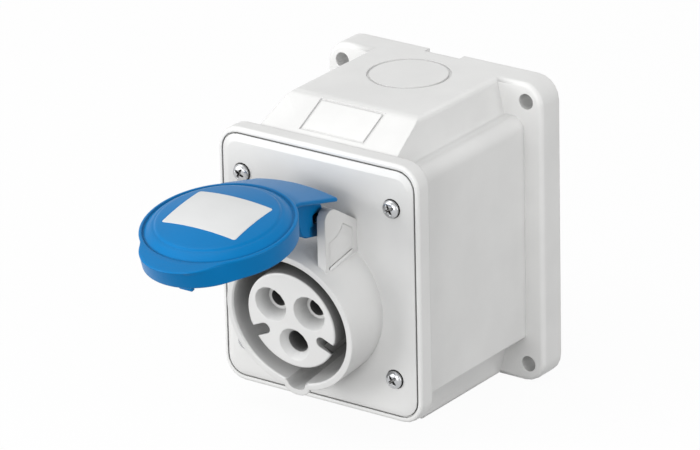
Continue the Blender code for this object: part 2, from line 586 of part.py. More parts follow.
def make_cover():
    """Cover plate with its raised face, tilted shroud, keyway, well, ears and carrier bosses."""
    outline = rounded(rectangle(COVER_HALF_WIDTH, COVER_HALF_HEIGHT, COVER_CORNER, COVER_CENTRE_Z))
    edge_depth = COVER_DEPTH - COVER_BORDER_FALL
    cover = extruded("cover_housing", outline, COVER_BACK, edge_depth, FRONT, helper=False)
    form = bmesh.new()
    form.from_mesh(cover.data)
    face = max(form.faces, key=lambda one: one.calc_center_median().z)
    bmesh.ops.inset_region(form, faces=[face], thickness=COVER_BORDER, depth=COVER_BORDER_FALL, use_even_offset=True)
    form.to_mesh(cover.data)
    form.free()
    shroud = [
        (0.0, 0.0),
        (SHROUD_RADIUS - RIM_EDGE, 0.0),
        (SHROUD_RADIUS - RIM_EDGE * 0.3, -RIM_EDGE * 0.3),
        (SHROUD_RADIUS, -RIM_EDGE),
        (SHROUD_FOOT_RADIUS, -SHROUD_FOOT),
        (SHROUD_FOOT_RADIUS, -WELL_DEPTH),
        (0.0, -WELL_DEPTH),
    ]
    combine(cover, turned("shroud_form", shroud, ROUND_STEPS, SHROUD), "UNION")
    bulge = rounded(
        [
            (-KEYWAY_WIDTH / 2 - KEYWAY_WALL, -KEYWAY_REACH - KEYWAY_WALL, KEYWAY_CORNER + KEYWAY_WALL),
            (KEYWAY_WIDTH / 2 + KEYWAY_WALL, -KEYWAY_REACH - KEYWAY_WALL, KEYWAY_CORNER + KEYWAY_WALL),
            (KEYWAY_WIDTH / 2 + KEYWAY_WALL, -CARRIER_RADIUS, 0.0),
            (-KEYWAY_WIDTH / 2 - KEYWAY_WALL, -CARRIER_RADIUS, 0.0),
        ]
    )
    combine(cover, extruded("keyway_form", bulge, -WELL_DEPTH + WALL, -FIT_GAP / 10, SHROUD), "UNION")
    for side in (-1, 1):
        middle = side * (EAR_OUTER - EAR_THICKNESS / 2)
        ear_frame = Matrix.Translation((middle, 0.0, 0.0)) @ SIDE
        ear = extruded(f"ear_form_{side}", ear_outline(), -EAR_THICKNESS / 2, EAR_THICKNESS / 2, ear_frame)
        taper(ear, side)
        combine(cover, ear, "UNION")
        boss_spot = at(SHROUD, side * CARRIER_SCREW_X, 0.0)
        boss_top = -SHROUD_FOOT - COVER_THICKNESS / 2
        boss_end = -WELL_DEPTH + FIT_GAP
        boss = cylinder(f"boss_form_{side}", CARRIER_BOSS_RADIUS, boss_end, boss_top, SMALL_STEPS, boss_spot)
        combine(cover, boss, "UNION")
    bore = [
        (0.0, WALL),
        (BORE_RADIUS + RIM_EDGE, WALL),
        (BORE_RADIUS + RIM_EDGE, 0.0),
        (BORE_RADIUS, -RIM_EDGE),
        (BORE_RADIUS, -WELL_DEPTH - WALL),
        (0.0, -WELL_DEPTH - WALL),
    ]
    combine(cover, turned("bore_cutter", bore, ROUND_STEPS, SHROUD), "DIFFERENCE")
    keyway = rounded(
        [
            (-KEYWAY_WIDTH / 2, -KEYWAY_REACH, KEYWAY_CORNER),
            (KEYWAY_WIDTH / 2, -KEYWAY_REACH, KEYWAY_CORNER),
            (KEYWAY_WIDTH / 2, -CARRIER_RADIUS, 0.0),
            (-KEYWAY_WIDTH / 2, -CARRIER_RADIUS, 0.0),
        ]
    )
    combine(cover, extruded("keyway_cutter", keyway, -WELL_DEPTH + 2 * WALL, WALL, SHROUD), "DIFFERENCE")
    pin_frame = Matrix.Translation(HINGE_CENTRE) @ Matrix.Rotation(math.radians(90.0), 4, "Y")
    reach = PIN_HALF_LENGTH + FIT_GAP
    combine(cover, cylinder("pin_hole_cutter", PIN_RADIUS + FIT_GAP, -reach, reach, SMALL_STEPS, pin_frame), "DIFFERENCE")
    for side in (-1, 1):
        middle = side * (EAR_OUTER - EAR_THICKNESS / 2)
        face_frame = Matrix.Translation((middle, 0.0, 0.0)) @ SIDE
        shallow = sorted((-side * (EAR_THICKNESS / 2 - EAR_RECESS), -side * (EAR_THICKNESS / 2 + WALL)))
        recess = extruded(f"ear_recess_cutter_{side}", ear_recess_outline(), *shallow, face_frame)
        taper(recess, side)
        boss = cylinder(f"ear_boss_core_{side}", EAR_BOSS_RADIUS, -2 * reach, 2 * reach, ROUND_STEPS // 2, pin_frame)
        combine(recess, boss, "DIFFERENCE")
        combine(cover, recess, "DIFFERENCE")
        spot = at(SHROUD, side * CARRIER_SCREW_X, 0.0)
        deep = BACK_PLATE_BOTTOM + CARRIER_SCREW_LENGTH + FIT_GAP
        hole = CARRIER_SCREW_RADIUS + FIT_GAP
        pilot = cylinder(f"carrier_pilot_cutter_{side}", hole, -WELL_DEPTH - WALL, deep, SMALL_STEPS, spot)
        combine(cover, pilot, "DIFFERENCE")
    for number, (x, z) in enumerate(SCREW_PLACES, 1):
        hole = COVER_SCREW_RADIUS + FIT_GAP
        head = COVER_SCREW_HEAD_RADIUS + FIT_GAP
        low = COVER_BACK - WALL
        step = COVER_DEPTH - COVER_SCREW_SINK - FIT_GAP
        profile = [(0.0, COVER_DEPTH + WALL), (head, COVER_DEPTH + WALL), (head, step), (hole, step), (hole, low), (0.0, low)]
        combine(cover, turned(f"screw_hole_{number}_cutter", profile, SMALL_STEPS, at(FRONT, x, z)), "DIFFERENCE")
    return finish(cover, "cover_plastic", COVER_GREY, 0.4)


def make_gasket():
    """A flat ring of rubber between the back box's ledge and the cover."""
    low = LEDGE_DEPTH + FIT_GAP
    high = low + GASKET_THICKNESS
    outer = rounded(rectangle(COVER_HALF_WIDTH, COVER_HALF_HEIGHT, COVER_CORNER, COVER_CENTRE_Z))
    gasket = extruded("cover_gasket", outer, low, high, FRONT, helper=False)
    inner = rounded(
        rectangle(
            COVER_HALF_WIDTH - GASKET_WIDTH,
            COVER_HALF_HEIGHT - GASKET_WIDTH,
            COVER_CORNER - GASKET_WIDTH,
            COVER_CENTRE_Z,
        )
    )
    combine(gasket, extruded("gasket_cutter", inner, low - WALL, high + WALL, FRONT), "DIFFERENCE")
    return finish(gasket, "gasket_rubber", SEAL_BLACK, 0.7)


# Screws

def screw_piece(name, head_radius, head, shank_radius, length, matrix, cross=True):
    """A pan head screw along local z. The head's underside is at z = 0, and the shank runs down."""
    crown = head * 0.35
    profile = [
        (0.0, head),
        (head_radius * 0.72, head),
        (head_radius * 0.93, head - crown * 0.4),
        (head_radius, head - crown),
        (head_radius, 0.0),
        (shank_radius, 0.0),
        (shank_radius, -length + shank_radius / 2),
        (shank_radius / 2, -length),
        (0.0, -length),
    ]
    made = turned(name, profile, SMALL_STEPS, matrix, helper=False)
    slot_half = SCREW_RECESS_WIDTH / 2
    reach = head_radius * 0.62
    for turn in (0, 90) if cross else (0,):
        bar = rounded([(-reach, -slot_half, 0), (reach, -slot_half, 0), (reach, slot_half, 0), (-reach, slot_half, 0)])
        turned_frame = matrix @ Matrix.Rotation(math.radians(turn + 20.0), 4, "Z")
        cutter = extruded(f"{name}_recess_{turn}", bar, head - SCREW_RECESS_FALL, head + SCREW_RECESS_FALL, turned_frame)
        combine(made, cutter, "DIFFERENCE")
    return finish(made, name + "_zinc", ZINC, 0.3, 1.0)


def make_screws():
    """Four cover screws, two carrier screws and a clamping screw in each terminal."""
    for number, (x, z) in enumerate(SCREW_PLACES, 1):
        seat = at(FRONT, x, z, COVER_DEPTH - COVER_SCREW_SINK)
        screw_piece(
            f"cover_screw_{number}",
            COVER_SCREW_HEAD_RADIUS,
            COVER_SCREW_HEAD,
            COVER_SCREW_RADIUS,
            COVER_SCREW_LENGTH,
            seat,
        )
    for word, side in (("left", -1), ("right", 1)):
        seat = at(SHROUD, side * CARRIER_SCREW_X, 0.0, BACK_PLATE_BOTTOM - FIT_GAP)
        screw_piece(
            f"carrier_screw_{word}",
            CARRIER_SCREW_HEAD_RADIUS,
            CARRIER_SCREW_HEAD,
            CARRIER_SCREW_RADIUS,
            CARRIER_SCREW_LENGTH,
            seat @ Matrix.Rotation(math.pi, 4, "X"),
        )
    for word in CONTACTS:
        spot, away, _ = terminal_place(word)
        seat = spot @ Matrix.Rotation(-away * math.radians(90.0), 4, "X")
        screw_piece(
            f"terminal_screw_{word}",
            TERMINAL_SCREW_HEAD_RADIUS,
            TERMINAL_SCREW_HEAD,
            TERMINAL_SCREW_RADIUS,
            TERMINAL_SIZE / 2 - TERMINAL_SCREW_REACH,
            at(seat, 0.0, 0.0, TERMINAL_SIZE / 2 + FIT_GAP),
            cross=False,
        )


# Contact carrier, its back plate and the contacts

def contact_place(word):
    """A contact's axis in the shroud's frame."""
    angle = CONTACTS[word][0]
    return at(SHROUD, PIN_CIRCLE_RADIUS * math.cos(angle), PIN_CIRCLE_RADIUS * math.sin(angle))


def terminal_place(word):
    """Centre of a terminal block, the side that its screw is on, and its top in the contact's frame."""
    top = BACK_PLATE_BOTTOM - FIT_GAP
    away = -1 if word == "earth" else 1
    return at(contact_place(word), 0.0, 0.0, top - TERMINAL_LENGTH / 2), away, top


def lug_bar(name, low, high):
    """A bar that reaches from the carrier to its two screws."""
    half = CARRIER_SCREW_X + CARRIER_BOSS_RADIUS
    bar = rounded(rectangle(half, CARRIER_BOSS_RADIUS, CARRIER_BOSS_RADIUS * 0.95))
    return extruded(name, bar, low, high, SHROUD)


def screw_passes(piece, low, high):
    """Clearance holes for the two carrier screws."""
    for side in (-1, 1):
        spot = at(SHROUD, side * CARRIER_SCREW_X, 0.0)
        hole = CARRIER_SCREW_RADIUS + FIT_GAP
        combine(piece, cylinder(f"{piece.name}_pass_{side}", hole, low, high, SMALL_STEPS, spot), "DIFFERENCE")


def make_carrier():
    """The round insert with its three contact mouths, and the flange that closes the well."""
    top = -CARRIER_RECESS
    flange_top = -WELL_DEPTH - FIT_GAP
    profile = [
        (0.0, top),
        (CARRIER_RADIUS - CARRIER_EDGE, top),
        (CARRIER_RADIUS - CARRIER_EDGE * 0.3, top - CARRIER_EDGE * 0.3),
        (CARRIER_RADIUS, top - CARRIER_EDGE),
        (CARRIER_RADIUS, flange_top),
        (SHROUD_FOOT_RADIUS, flange_top),
        (SHROUD_FOOT_RADIUS, CARRIER_BACK_Z),
        (0.0, CARRIER_BACK_Z),
    ]
    carrier = turned("contact_carrier", profile, ROUND_STEPS, SHROUD, helper=False)
    combine(carrier, lug_bar("carrier_lug_form", CARRIER_BACK_Z, flange_top), "UNION")
    for word, (_, kind) in CONTACTS.items():
        mouth, mouth_depth, floor, throat, bore = CONTACT_SIZES[kind]
        sleeve = bore + SLEEVE_WALL + FIT_GAP
        collar = sleeve + SLEEVE_COLLAR
        throat_end = top - mouth_depth - THROAT_LENGTH
        shelf = CARRIER_BACK_Z + SLEEVE_COLLAR_LENGTH + FIT_GAP
        opening = [
            (0.0, top + WALL),
            (mouth, top + WALL),
            (mouth, top),
            (floor, top - mouth_depth),
            (throat, top - mouth_depth),
            (throat, throat_end),
            (sleeve, throat_end),
            (sleeve, shelf),
            (collar, shelf),
            (collar, CARRIER_BACK_Z - WALL),
            (0.0, CARRIER_BACK_Z - WALL),
        ]
        if floor == throat:
            opening.pop(3)
        combine(carrier, turned(f"{word}_opening_cutter", opening, SMALL_STEPS, contact_place(word)), "DIFFERENCE")
    for side in (-1, 1):
        slot_frame = at(SHROUD, side * SLOT_INNER_X, SLOT_INNER_U) @ Matrix.Rotation(-side * SLOT_LEAN, 4, "Z")
        half = SLOT_WIDTH / 2
        reach = side * CARRIER_RADIUS
        slot = [(-side * half, -half, half * 0.98), (reach, -half, 0.0), (reach, half, 0.0), (-side * half, half, half * 0.98)]
        cutter = extruded(f"carrier_slot_cutter_{side}", rounded(slot), top - SLOT_DEPTH, top + WALL, slot_frame)
        combine(carrier, cutter, "DIFFERENCE")
        beyond = SHROUD_FOOT_RADIUS
        undercut = [
            (side * UNDERCUT_X, -beyond),
            (side * beyond, -beyond),
            (side * beyond, SLOT_INNER_U - (beyond - SLOT_INNER_X) * math.tan(SLOT_LEAN)),
            (side * SLOT_INNER_X, SLOT_INNER_U),
            (side * SLOT_INNER_X, SLOT_INNER_U - half),
            (side * UNDERCUT_X, SLOT_INNER_U - half),
        ]
        hollow = extruded(f"undercut_cutter_{side}", undercut, flange_top, top - UNDERCUT_SKIN, SHROUD)
        combine(carrier, hollow, "DIFFERENCE")
    screw_passes(carrier, CARRIER_BACK_Z - WALL, flange_top + WALL)
    return finish(carrier, "carrier_plastic", CARRIER_GREY, 0.45)


def make_carrier_back():
    """The plate behind the carrier, which traps the contacts' collars."""
    plate = cylinder(
        "carrier_back", CARRIER_RADIUS, BACK_PLATE_BOTTOM, BACK_PLATE_TOP, ROUND_STEPS // 2, SHROUD, helper=False
    )
    combine(plate, lug_bar("back_lug_form", BACK_PLATE_BOTTOM, BACK_PLATE_TOP), "UNION")
    for word, (_, kind) in CONTACTS.items():
        hole = CONTACT_SIZES[kind][4] + FIT_GAP
        low = BACK_PLATE_BOTTOM - WALL
        high = BACK_PLATE_TOP + WALL
        combine(plate, cylinder(f"{word}_neck_cutter", hole, low, high, SMALL_STEPS, contact_place(word)), "DIFFERENCE")
    screw_passes(plate, BACK_PLATE_BOTTOM - WALL, BACK_PLATE_TOP + WALL)
    return finish(plate, "carrier_back_plastic", CARRIER_GREY, 0.5)


def make_contact(word, kind):
    """A turned brass sleeve with a collar, a neck through the back plate and a terminal block."""
    _, mouth_depth, _, _, bore = CONTACT_SIZES[kind]
    outer = bore + SLEEVE_WALL
    collar = outer + SLEEVE_COLLAR
    spot = contact_place(word)
    mouth = -CARRIER_RECESS - mouth_depth - THROAT_LENGTH - FIT_GAP
    shelf = CARRIER_BACK_Z + SLEEVE_COLLAR_LENGTH
    centre, away, block_top = terminal_place(word)
    profile = [
        (bore, mouth),
        (outer, mouth),
        (outer, shelf),
        (collar, shelf),
        (collar, CARRIER_BACK_Z),
        (bore, CARRIER_BACK_Z),
        (bore, block_top - WALL),
        (0.0, block_top - WALL),
        (0.0, shelf),
        (bore, shelf),
    ]
    contact = turned(f"contact_{word}", profile_from_axis(profile), SMALL_STEPS, spot, helper=False)
    half = TERMINAL_SIZE / 2
    block = extruded(
        f"{word}_terminal_form", rounded(rectangle(half, half, WALL / 4), 2), -TERMINAL_LENGTH / 2, TERMINAL_LENGTH / 2, centre
    )
    combine(contact, block, "UNION")
    wire = centre @ Matrix.Translation((0.0, -away * half / 4, 0.0))
    low = -TERMINAL_LENGTH
    combine(contact, cylinder(f"{word}_wire_cutter", TERMINAL_WIRE_RADIUS, low, 0.0, SMALL_STEPS, wire), "DIFFERENCE")
    tapped = centre @ Matrix.Rotation(-away * math.radians(90.0), 4, "X")
    hole = TERMINAL_SCREW_RADIUS + FIT_GAP
    combine(contact, cylinder(f"{word}_tap_cutter", hole, 0.0, TERMINAL_SIZE, SMALL_STEPS, tapped), "DIFFERENCE")
    return finish(contact, f"contact_{word}_brass", BRASS, 0.3, 1.0)


def profile_from_axis(loop):
    """The same closed profile, started at its upper point on the axis."""
    start = next(index for index, point in enumerate(loop) if point[0] == 0.0 and loop[index - 1][0] == 0.0)
    return loop[start:] + loop[:start]


# Lid

def lid_top(offset):
    """Outer profile of the lid's top from the axis to its edge, moved out by an offset."""
    dome_steps = 4
    flat = LID_PLATEAU_RADIUS - LID_WALL / 2
    points = [
        (flat * step / dome_steps, LID_EDGE_Z + LID_PLATEAU_RISE + LID_DOME * (1 - (step / dome_steps) ** 2) + offset)
        for step in range(dome_steps + 1)
    ]
    points.append((LID_PLATEAU_RADIUS, LID_EDGE_Z + LID_PLATEAU_RISE * 0.86 + offset))
    points.append((LID_CREASE_RADIUS - LID_WALL / 3, LID_EDGE_Z + LID_CREASE_RISE * 1.6 + offset))
    points.append((LID_CREASE_RADIUS, LID_EDGE_Z + LID_CREASE_RISE + offset))
    return points


def lip_form(name, inset, low, high, frame):
    """The thumb lip's oblique cone, from a wide base circle to a smaller one set further out."""
    fall = LID_SKIRT - LIP_TOP_FALL
    form = bmesh.new()
    bmesh.ops.create_cone(
        form,
        cap_ends=True,
        segments=ROUND_STEPS,
        radius1=LIP_BASE_RADIUS - inset,
        radius2=LIP_TOP_RADIUS - inset,
        depth=fall,
    )
    for vert in form.verts:
        share = vert.co.z / fall + 0.5
        vert.co.y += LIP_BASE_CENTRE + share * (LIP_TOP_CENTRE - LIP_BASE_CENTRE)
        vert.co.z = low + share * (high - low)
    mesh = bpy.data.meshes.new(name)
    form.to_mesh(mesh)
    form.free()
    return place(name, mesh, frame, helper=True)


def make_lid(hinge):
    """The lid: domed cap with a skirt, thumb lip, plug catch, crowned arm and knuckle."""
    frame = hinge.matrix_world.copy()
    centre = at(frame, 0.0, LID_REACH)
    edge = LID_EDGE_Z
    profile = lid_top(0.0) + [
        (LID_RADIUS - RIM_EDGE, edge + LID_CREASE_RISE / 3),
        (LID_RADIUS, edge - RIM_EDGE),
        (LID_MOUTH_RADIUS, LID_MOUTH_Z),
        (0.0, LID_MOUTH_Z),
    ]
    lid = turned("lid", profile, ROUND_STEPS, centre, helper=False)
    lip_top = edge - LIP_TOP_FALL
    lip = lip_form("lip_form", 0.0, LID_MOUTH_Z, lip_top, centre)
    lip_hollow = lip_form("lip_hollow_cutter", LIP_WALL, LID_MOUTH_Z - LIP_WALL, lip_top - LIP_WALL, centre)
    combine(lip, lip_hollow, "DIFFERENCE")
    combine(lid, lip, "UNION")
    combine(lid, arm_form(frame, centre), "UNION")
    combine(lid, knuckle_form(frame), "UNION")
    shelf = LID_MOUTH_Z + SEAL_THICKNESS + FIT_GAP - FIT_GAP / 3
    inner = SEAL_OUTER + FIT_GAP
    hollow = [
        (0.0, edge + LID_PLATEAU_RISE - LID_WALL),
        (LID_PLATEAU_RADIUS - LID_WALL, edge + LID_PLATEAU_RISE - LID_WALL - LID_CREASE_RISE),
        (SEAL_INNER + FIT_GAP, edge - LID_WALL),
        (SEAL_INNER + FIT_GAP, shelf),
        (inner, shelf),
        (inner, LID_MOUTH_Z - WALL),
        (0.0, LID_MOUTH_Z - WALL),
    ]
    combine(lid, turned("lid_hollow_cutter", hollow, ROUND_STEPS, centre), "DIFFERENCE")
    catch = [
        (-CATCH_HALF_WIDTH, CATCH_RADIUS - CATCH_THICKNESS, 0.0),
        (CATCH_HALF_WIDTH, CATCH_RADIUS - CATCH_THICKNESS, 0.0),
        (CATCH_HALF_WIDTH, CATCH_RADIUS, 0.0),
        (-CATCH_HALF_WIDTH, CATCH_RADIUS, 0.0),
    ]
    catch_low = LID_MOUTH_Z - CATCH_REACH
    catch_high = edge + LID_PLATEAU_RISE * 0.6 - LID_WALL * 0.5
    combine(lid, extruded("catch_form", rounded(catch), catch_low, catch_high, centre), "UNION")
    pin_frame = frame @ Matrix.Rotation(math.radians(90.0), 4, "Y")
    reach = EAR_INNER
    combine(lid, cylinder("knuckle_bore_cutter", PIN_RADIUS + FIT_GAP, -reach, reach, SMALL_STEPS, pin_frame), "DIFFERENCE")
    return finish(lid, "lid_plastic", LID_BLUE, 0.25)


def arm_form(frame, centre):
    """The arm's plate: an arched section carried down a slope from the cap to its tail."""
    slope = math.atan2(LID_EDGE_Z - ARM_TAIL_Z, ARM_HEAD_Y - ARM_TAIL_Y)
    half = EAR_OUTER
    arch_steps = 8
    arch = [
        (half * (1 - 2 * step / arch_steps), ARM_CROWN * (1 - (1 - 2 * step / arch_steps) ** 2))
        for step in range(arch_steps + 1)
    ]
    section = arch + [(x, z - ARM_THICKNESS) for x, z in reversed(arch)]
    length = (ARM_HEAD_Y - ARM_TAIL_Y) / math.cos(slope) + EAR_THICKNESS
    tail = at(frame, 0.0, ARM_TAIL_Y, ARM_TAIL_Z) @ Matrix.Rotation(slope + math.radians(90.0), 4, "X")
    plate = extruded("arm_form", section, -length, 0.0, tail)
    inside = cylinder("arm_inner_cutter", LID_CREASE_RADIUS, -LID_SKIRT, LID_EDGE_Z * 2, ROUND_STEPS, centre)
    combine(plate, inside, "DIFFERENCE")
    above = extruded(
        "arm_top_cutter", rounded(rectangle(2 * half, LID_REACH, 0.0)), LID_EDGE_Z, LID_EDGE_Z * 2, frame
    )
    combine(plate, above, "DIFFERENCE")
    return plate


def knuckle_form(frame):
    """The knuckle: stepped cheeks that fill the width between the ears, and a barrel round the pin."""
    cheek_half = EAR_INNER - KNUCKLE_GAP
    side = frame @ Matrix(((0, 0, 1, 0), (1, 0, 0, 0), (0, 1, 0, 0), (0, 0, 0, 1)))
    barrel = KNUCKLE_BARREL_RADIUS
    clear = PIN_RADIUS + FIT_GAP * 2
    under = ARM_TAIL_Z - ARM_THICKNESS / 2
    rise = (LID_EDGE_Z - ARM_TAIL_Z) / (ARM_HEAD_Y - ARM_TAIL_Y)
    front = LID_REACH - SEAL_OUTER + WALL / 2
    cheek = [
        (-clear, ARM_TAIL_Z + rise * (-clear - ARM_TAIL_Y) + FIT_GAP, 0.0),
        (-clear, clear, 0.0),
        (clear, clear, 0.0),
        (clear + FIT_GAP, -clear * 0.7, 0.0),
        (barrel + FIT_GAP, -clear * 0.4, 0.0),
        (barrel + WALL / 2, -barrel, 0.0),
        (barrel * 2 + FIT_GAP, -clear * 0.8, 0.0),
        (LID_REACH - SHROUD_RADIUS - KNUCKLE_GAP, LID_MOUTH_Z + FIT_GAP, 0.0),
        (front, LID_MOUTH_Z + FIT_GAP, 0.0),
        (front, ARM_TAIL_Z + rise * (front - ARM_TAIL_Y) + FIT_GAP, 0.0),
    ]
    knuckle = extruded("knuckle_form", rounded(cheek), -cheek_half, cheek_half, side)
    barrel_half = cheek_half - KNUCKLE_BARREL_INSET
    web = [
        (-barrel, 0.0, 0.0),
        (0.0, -barrel, barrel * 0.6),
        (barrel + WALL, -barrel, 0.0),
        (barrel + WALL, under, 0.0),
        (-barrel * 0.7, under, 0.0),
    ]
    combine(knuckle, extruded("barrel_form", rounded(web), -barrel_half, barrel_half, side), "UNION")
    return knuckle


def make_lid_seal(hinge):
    """The rubber ring inside the lid's mouth, which presses on the shroud's rim."""
    low = LID_MOUTH_Z - FIT_GAP / 3
    high = low + SEAL_THICKNESS
    profile = [(SEAL_INNER, high), (SEAL_OUTER, high), (SEAL_OUTER, low), (SEAL_INNER, low)]
    seal = turned("lid_seal", profile, ROUND_STEPS, at(hinge.matrix_world, 0.0, LID_REACH), helper=False)
    return finish(seal, "seal_rubber", SEAL_BLACK, 0.7)


def make_lid_label(hinge):
    """The thin panel on the lid's dome, with no text."""
    centre = at(hinge.matrix_world, 0.0, LID_REACH)
    upper = lid_top(FIT_GAP + LABEL_THICKNESS)
    lower = lid_top(FIT_GAP)
    reach = sum(1 for radius, _ in upper if radius < LID_PLATEAU_RADIUS)
    profile = upper[:reach] + lower[:reach][::-1]
    label = turned("lid_label", profile, ROUND_STEPS, centre, helper=False)
    outline = rounded(rectangle(LABEL_WIDTH / 2, LABEL_HEIGHT / 2, LABEL_CORNER), 3)
    cut = extruded("label_outline_form", outline, LID_EDGE_Z, LID_EDGE_Z * 2, centre)
    combine(label, cut, "INTERSECT")
    return finish(label, "label_film", LABEL_WHITE, 0.35)


def make_pin():
    """The steel hinge pin, held in both ears."""
    frame = Matrix.Translation(HINGE_CENTRE) @ Matrix.Rotation(math.radians(90.0), 4, "Y")
    chamfer = FIT_GAP
    profile = [
        (0.0, PIN_HALF_LENGTH),
        (PIN_RADIUS - chamfer, PIN_HALF_LENGTH),
        (PIN_RADIUS, PIN_HALF_LENGTH - chamfer),
        (PIN_RADIUS, -PIN_HALF_LENGTH + chamfer),
        (PIN_RADIUS - chamfer, -PIN_HALF_LENGTH),
        (0.0, -PIN_HALF_LENGTH),
    ]
    return finish(turned("hinge_pin", profile, SMALL_STEPS, frame, helper=False), "pin_steel", ZINC, 0.25, 1.0)


# Assembly

make_back_box()
make_gasket()
make_cover()
make_carrier()
make_carrier_back()
for word, (_, kind) in CONTACTS.items():
    make_contact(word, kind)
make_screws()
make_pin()

hinge = bpy.data.objects.new("lid_hinge", None)
parts.objects.link(hinge)
hinge.location = HINGE_CENTRE
hinge.rotation_euler = (-LID_TILT, 0.0, math.pi)
bpy.context.view_layer.update()
for piece in (make_lid(hinge), make_lid_seal(hinge), make_lid_label(hinge)):
    local = hinge.matrix_world.inverted() @ piece.matrix_world
    piece.parent = hinge
    piece.matrix_parent_inverse = Matrix.Identity(4)
    piece.matrix_local = local
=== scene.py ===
# Industrial wall socket, 16 A, two poles and earth, with its blue lid open.
# The frame holds the solids. This file gives each of them its finished surface and its material.
# +X is right as seen from the front, -Y points out of the wall, +Z is up.

import math

import bmesh
import bpy
import numpy as np
from mathutils import Matrix, Vector


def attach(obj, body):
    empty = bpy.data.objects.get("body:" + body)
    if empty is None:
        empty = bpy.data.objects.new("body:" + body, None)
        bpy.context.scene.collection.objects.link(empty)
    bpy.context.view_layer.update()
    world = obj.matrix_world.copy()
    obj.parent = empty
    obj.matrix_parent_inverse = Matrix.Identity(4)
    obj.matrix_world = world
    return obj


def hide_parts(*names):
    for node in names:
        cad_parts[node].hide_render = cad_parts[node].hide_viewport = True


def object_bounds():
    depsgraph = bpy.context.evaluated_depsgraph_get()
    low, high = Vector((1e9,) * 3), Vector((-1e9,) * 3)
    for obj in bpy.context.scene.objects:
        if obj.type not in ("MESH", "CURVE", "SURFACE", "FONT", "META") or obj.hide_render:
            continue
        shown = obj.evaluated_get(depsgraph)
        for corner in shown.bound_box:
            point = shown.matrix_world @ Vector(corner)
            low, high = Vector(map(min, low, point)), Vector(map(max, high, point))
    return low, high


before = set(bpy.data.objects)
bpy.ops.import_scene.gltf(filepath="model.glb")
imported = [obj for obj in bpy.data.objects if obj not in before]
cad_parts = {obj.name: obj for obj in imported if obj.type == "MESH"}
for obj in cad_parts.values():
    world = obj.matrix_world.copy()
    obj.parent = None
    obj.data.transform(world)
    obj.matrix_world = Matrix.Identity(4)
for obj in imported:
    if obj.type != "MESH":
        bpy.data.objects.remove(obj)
frame_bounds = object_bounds()


# Camera. It stands to the right of the socket and above it, far off, so that
# the view is nearly a parallel one.

MM = 0.001
CAMERA_AZIMUTH = math.radians(35.9)
CAMERA_ELEVATION = math.radians(22.006)
CAMERA_ROLL = math.radians(-1.313)
CAMERA_DISTANCE = 1869.5 * MM
CAMERA_LENS = 291.5
CAMERA_FILM = 36.0
AIM_POINT = Vector((0.0, -60.0 * MM, 0.0))
AIM_RIGHT = -0.06 * MM
AIM_UP = 11.23 * MM

view_right = Vector((math.cos(CAMERA_AZIMUTH), math.sin(CAMERA_AZIMUTH), 0.0))
view_back = Vector(
    (
        math.sin(CAMERA_AZIMUTH) * math.cos(CAMERA_ELEVATION),
        -math.cos(CAMERA_AZIMUTH) * math.cos(CAMERA_ELEVATION),
        math.sin(CAMERA_ELEVATION),
    )
)
view_up = view_back.cross(view_right)
rolled_right = view_right * math.cos(CAMERA_ROLL) + view_up * math.sin(CAMERA_ROLL)
rolled_up = view_up * math.cos(CAMERA_ROLL) - view_right * math.sin(CAMERA_ROLL)
camera_turn = Matrix((rolled_right, rolled_up, view_back)).transposed().to_4x4()
camera_place = AIM_POINT + rolled_right * AIM_RIGHT + rolled_up * AIM_UP + view_back * CAMERA_DISTANCE

camera_data = bpy.data.cameras.new("camera")
camera_data.lens = CAMERA_LENS
camera_data.sensor_width = CAMERA_FILM
camera_data.clip_start = 0.05
camera_data.clip_end = 50.0
camera = bpy.data.objects.new("camera", camera_data)
camera.matrix_world = Matrix.Translation(camera_place) @ camera_turn
bpy.context.scene.collection.objects.link(camera)
bpy.context.scene.camera = camera
bpy.context.scene.view_settings.view_transform = "Standard"


# Floor, backdrop and light. The floor is a plain pale sheet under the socket. It looks
# white to the eye, keeps a soft shadow, and throws less light back up than it shows.

FLOOR_SIZE = 12.0
FLOOR_GAP = 0.2 * MM
FLOOR_COLOUR = "#747474"
FLOOR_GLOW = 1.22
FLOOR_SHADOW_SHARE = 0.22
SKY_STRENGTH = 0.57
BACKDROP_STRENGTH = 1.02
WHITE = (1.0, 1.0, 1.0, 1.0)
LIGHT_AIM = Vector((0.0, -0.05, 0.0))


def linear(colour):
    """sRGB hex to linear red, green, blue and an alpha of 1."""
    parts = [int(colour[i : i + 2], 16) / 255 for i in (1, 3, 5)]
    return tuple(c / 12.92 if c <= 0.04045 else ((c + 0.055) / 1.055) ** 2.4 for c in parts) + (1.0,)


def add_node(tree, kind, inputs=None, **settings):
    """Adds one node. An input's value is a number, a colour or the output socket that feeds it."""
    node = tree.nodes.new(kind)
    for name, value in settings.items():
        setattr(node, name, value)
    for name, value in (inputs or {}).items():
        if isinstance(value, bpy.types.NodeSocket):
            tree.links.new(value, node.inputs[name])
        else:
            node.inputs[name].default_value = value
    return node


def seen_directly(tree):
    """1 for what the camera sees, straight or in gloss and glass, and 0 for light on the surfaces."""
    path = add_node(tree, "ShaderNodeLightPath").outputs
    seen = path["Is Camera Ray"]
    for ray in ("Is Glossy Ray", "Is Transmission Ray"):
        seen = add_node(tree, "ShaderNodeMath", {0: seen, 1: path[ray]}, operation="MAXIMUM").outputs[0]
    return seen


half = FLOOR_SIZE / 2
floor_z = frame_bounds[0][2] - FLOOR_GAP
corners = [(x * half, y * half, floor_z) for x, y in ((-1, -1), (1, -1), (1, 1), (-1, 1))]
floor_mesh = bpy.data.meshes.new("floor")
floor_mesh.from_pydata(corners, [], [(0, 1, 2, 3)])
floor = bpy.data.objects.new("floor", floor_mesh)
bpy.context.scene.collection.objects.link(floor)

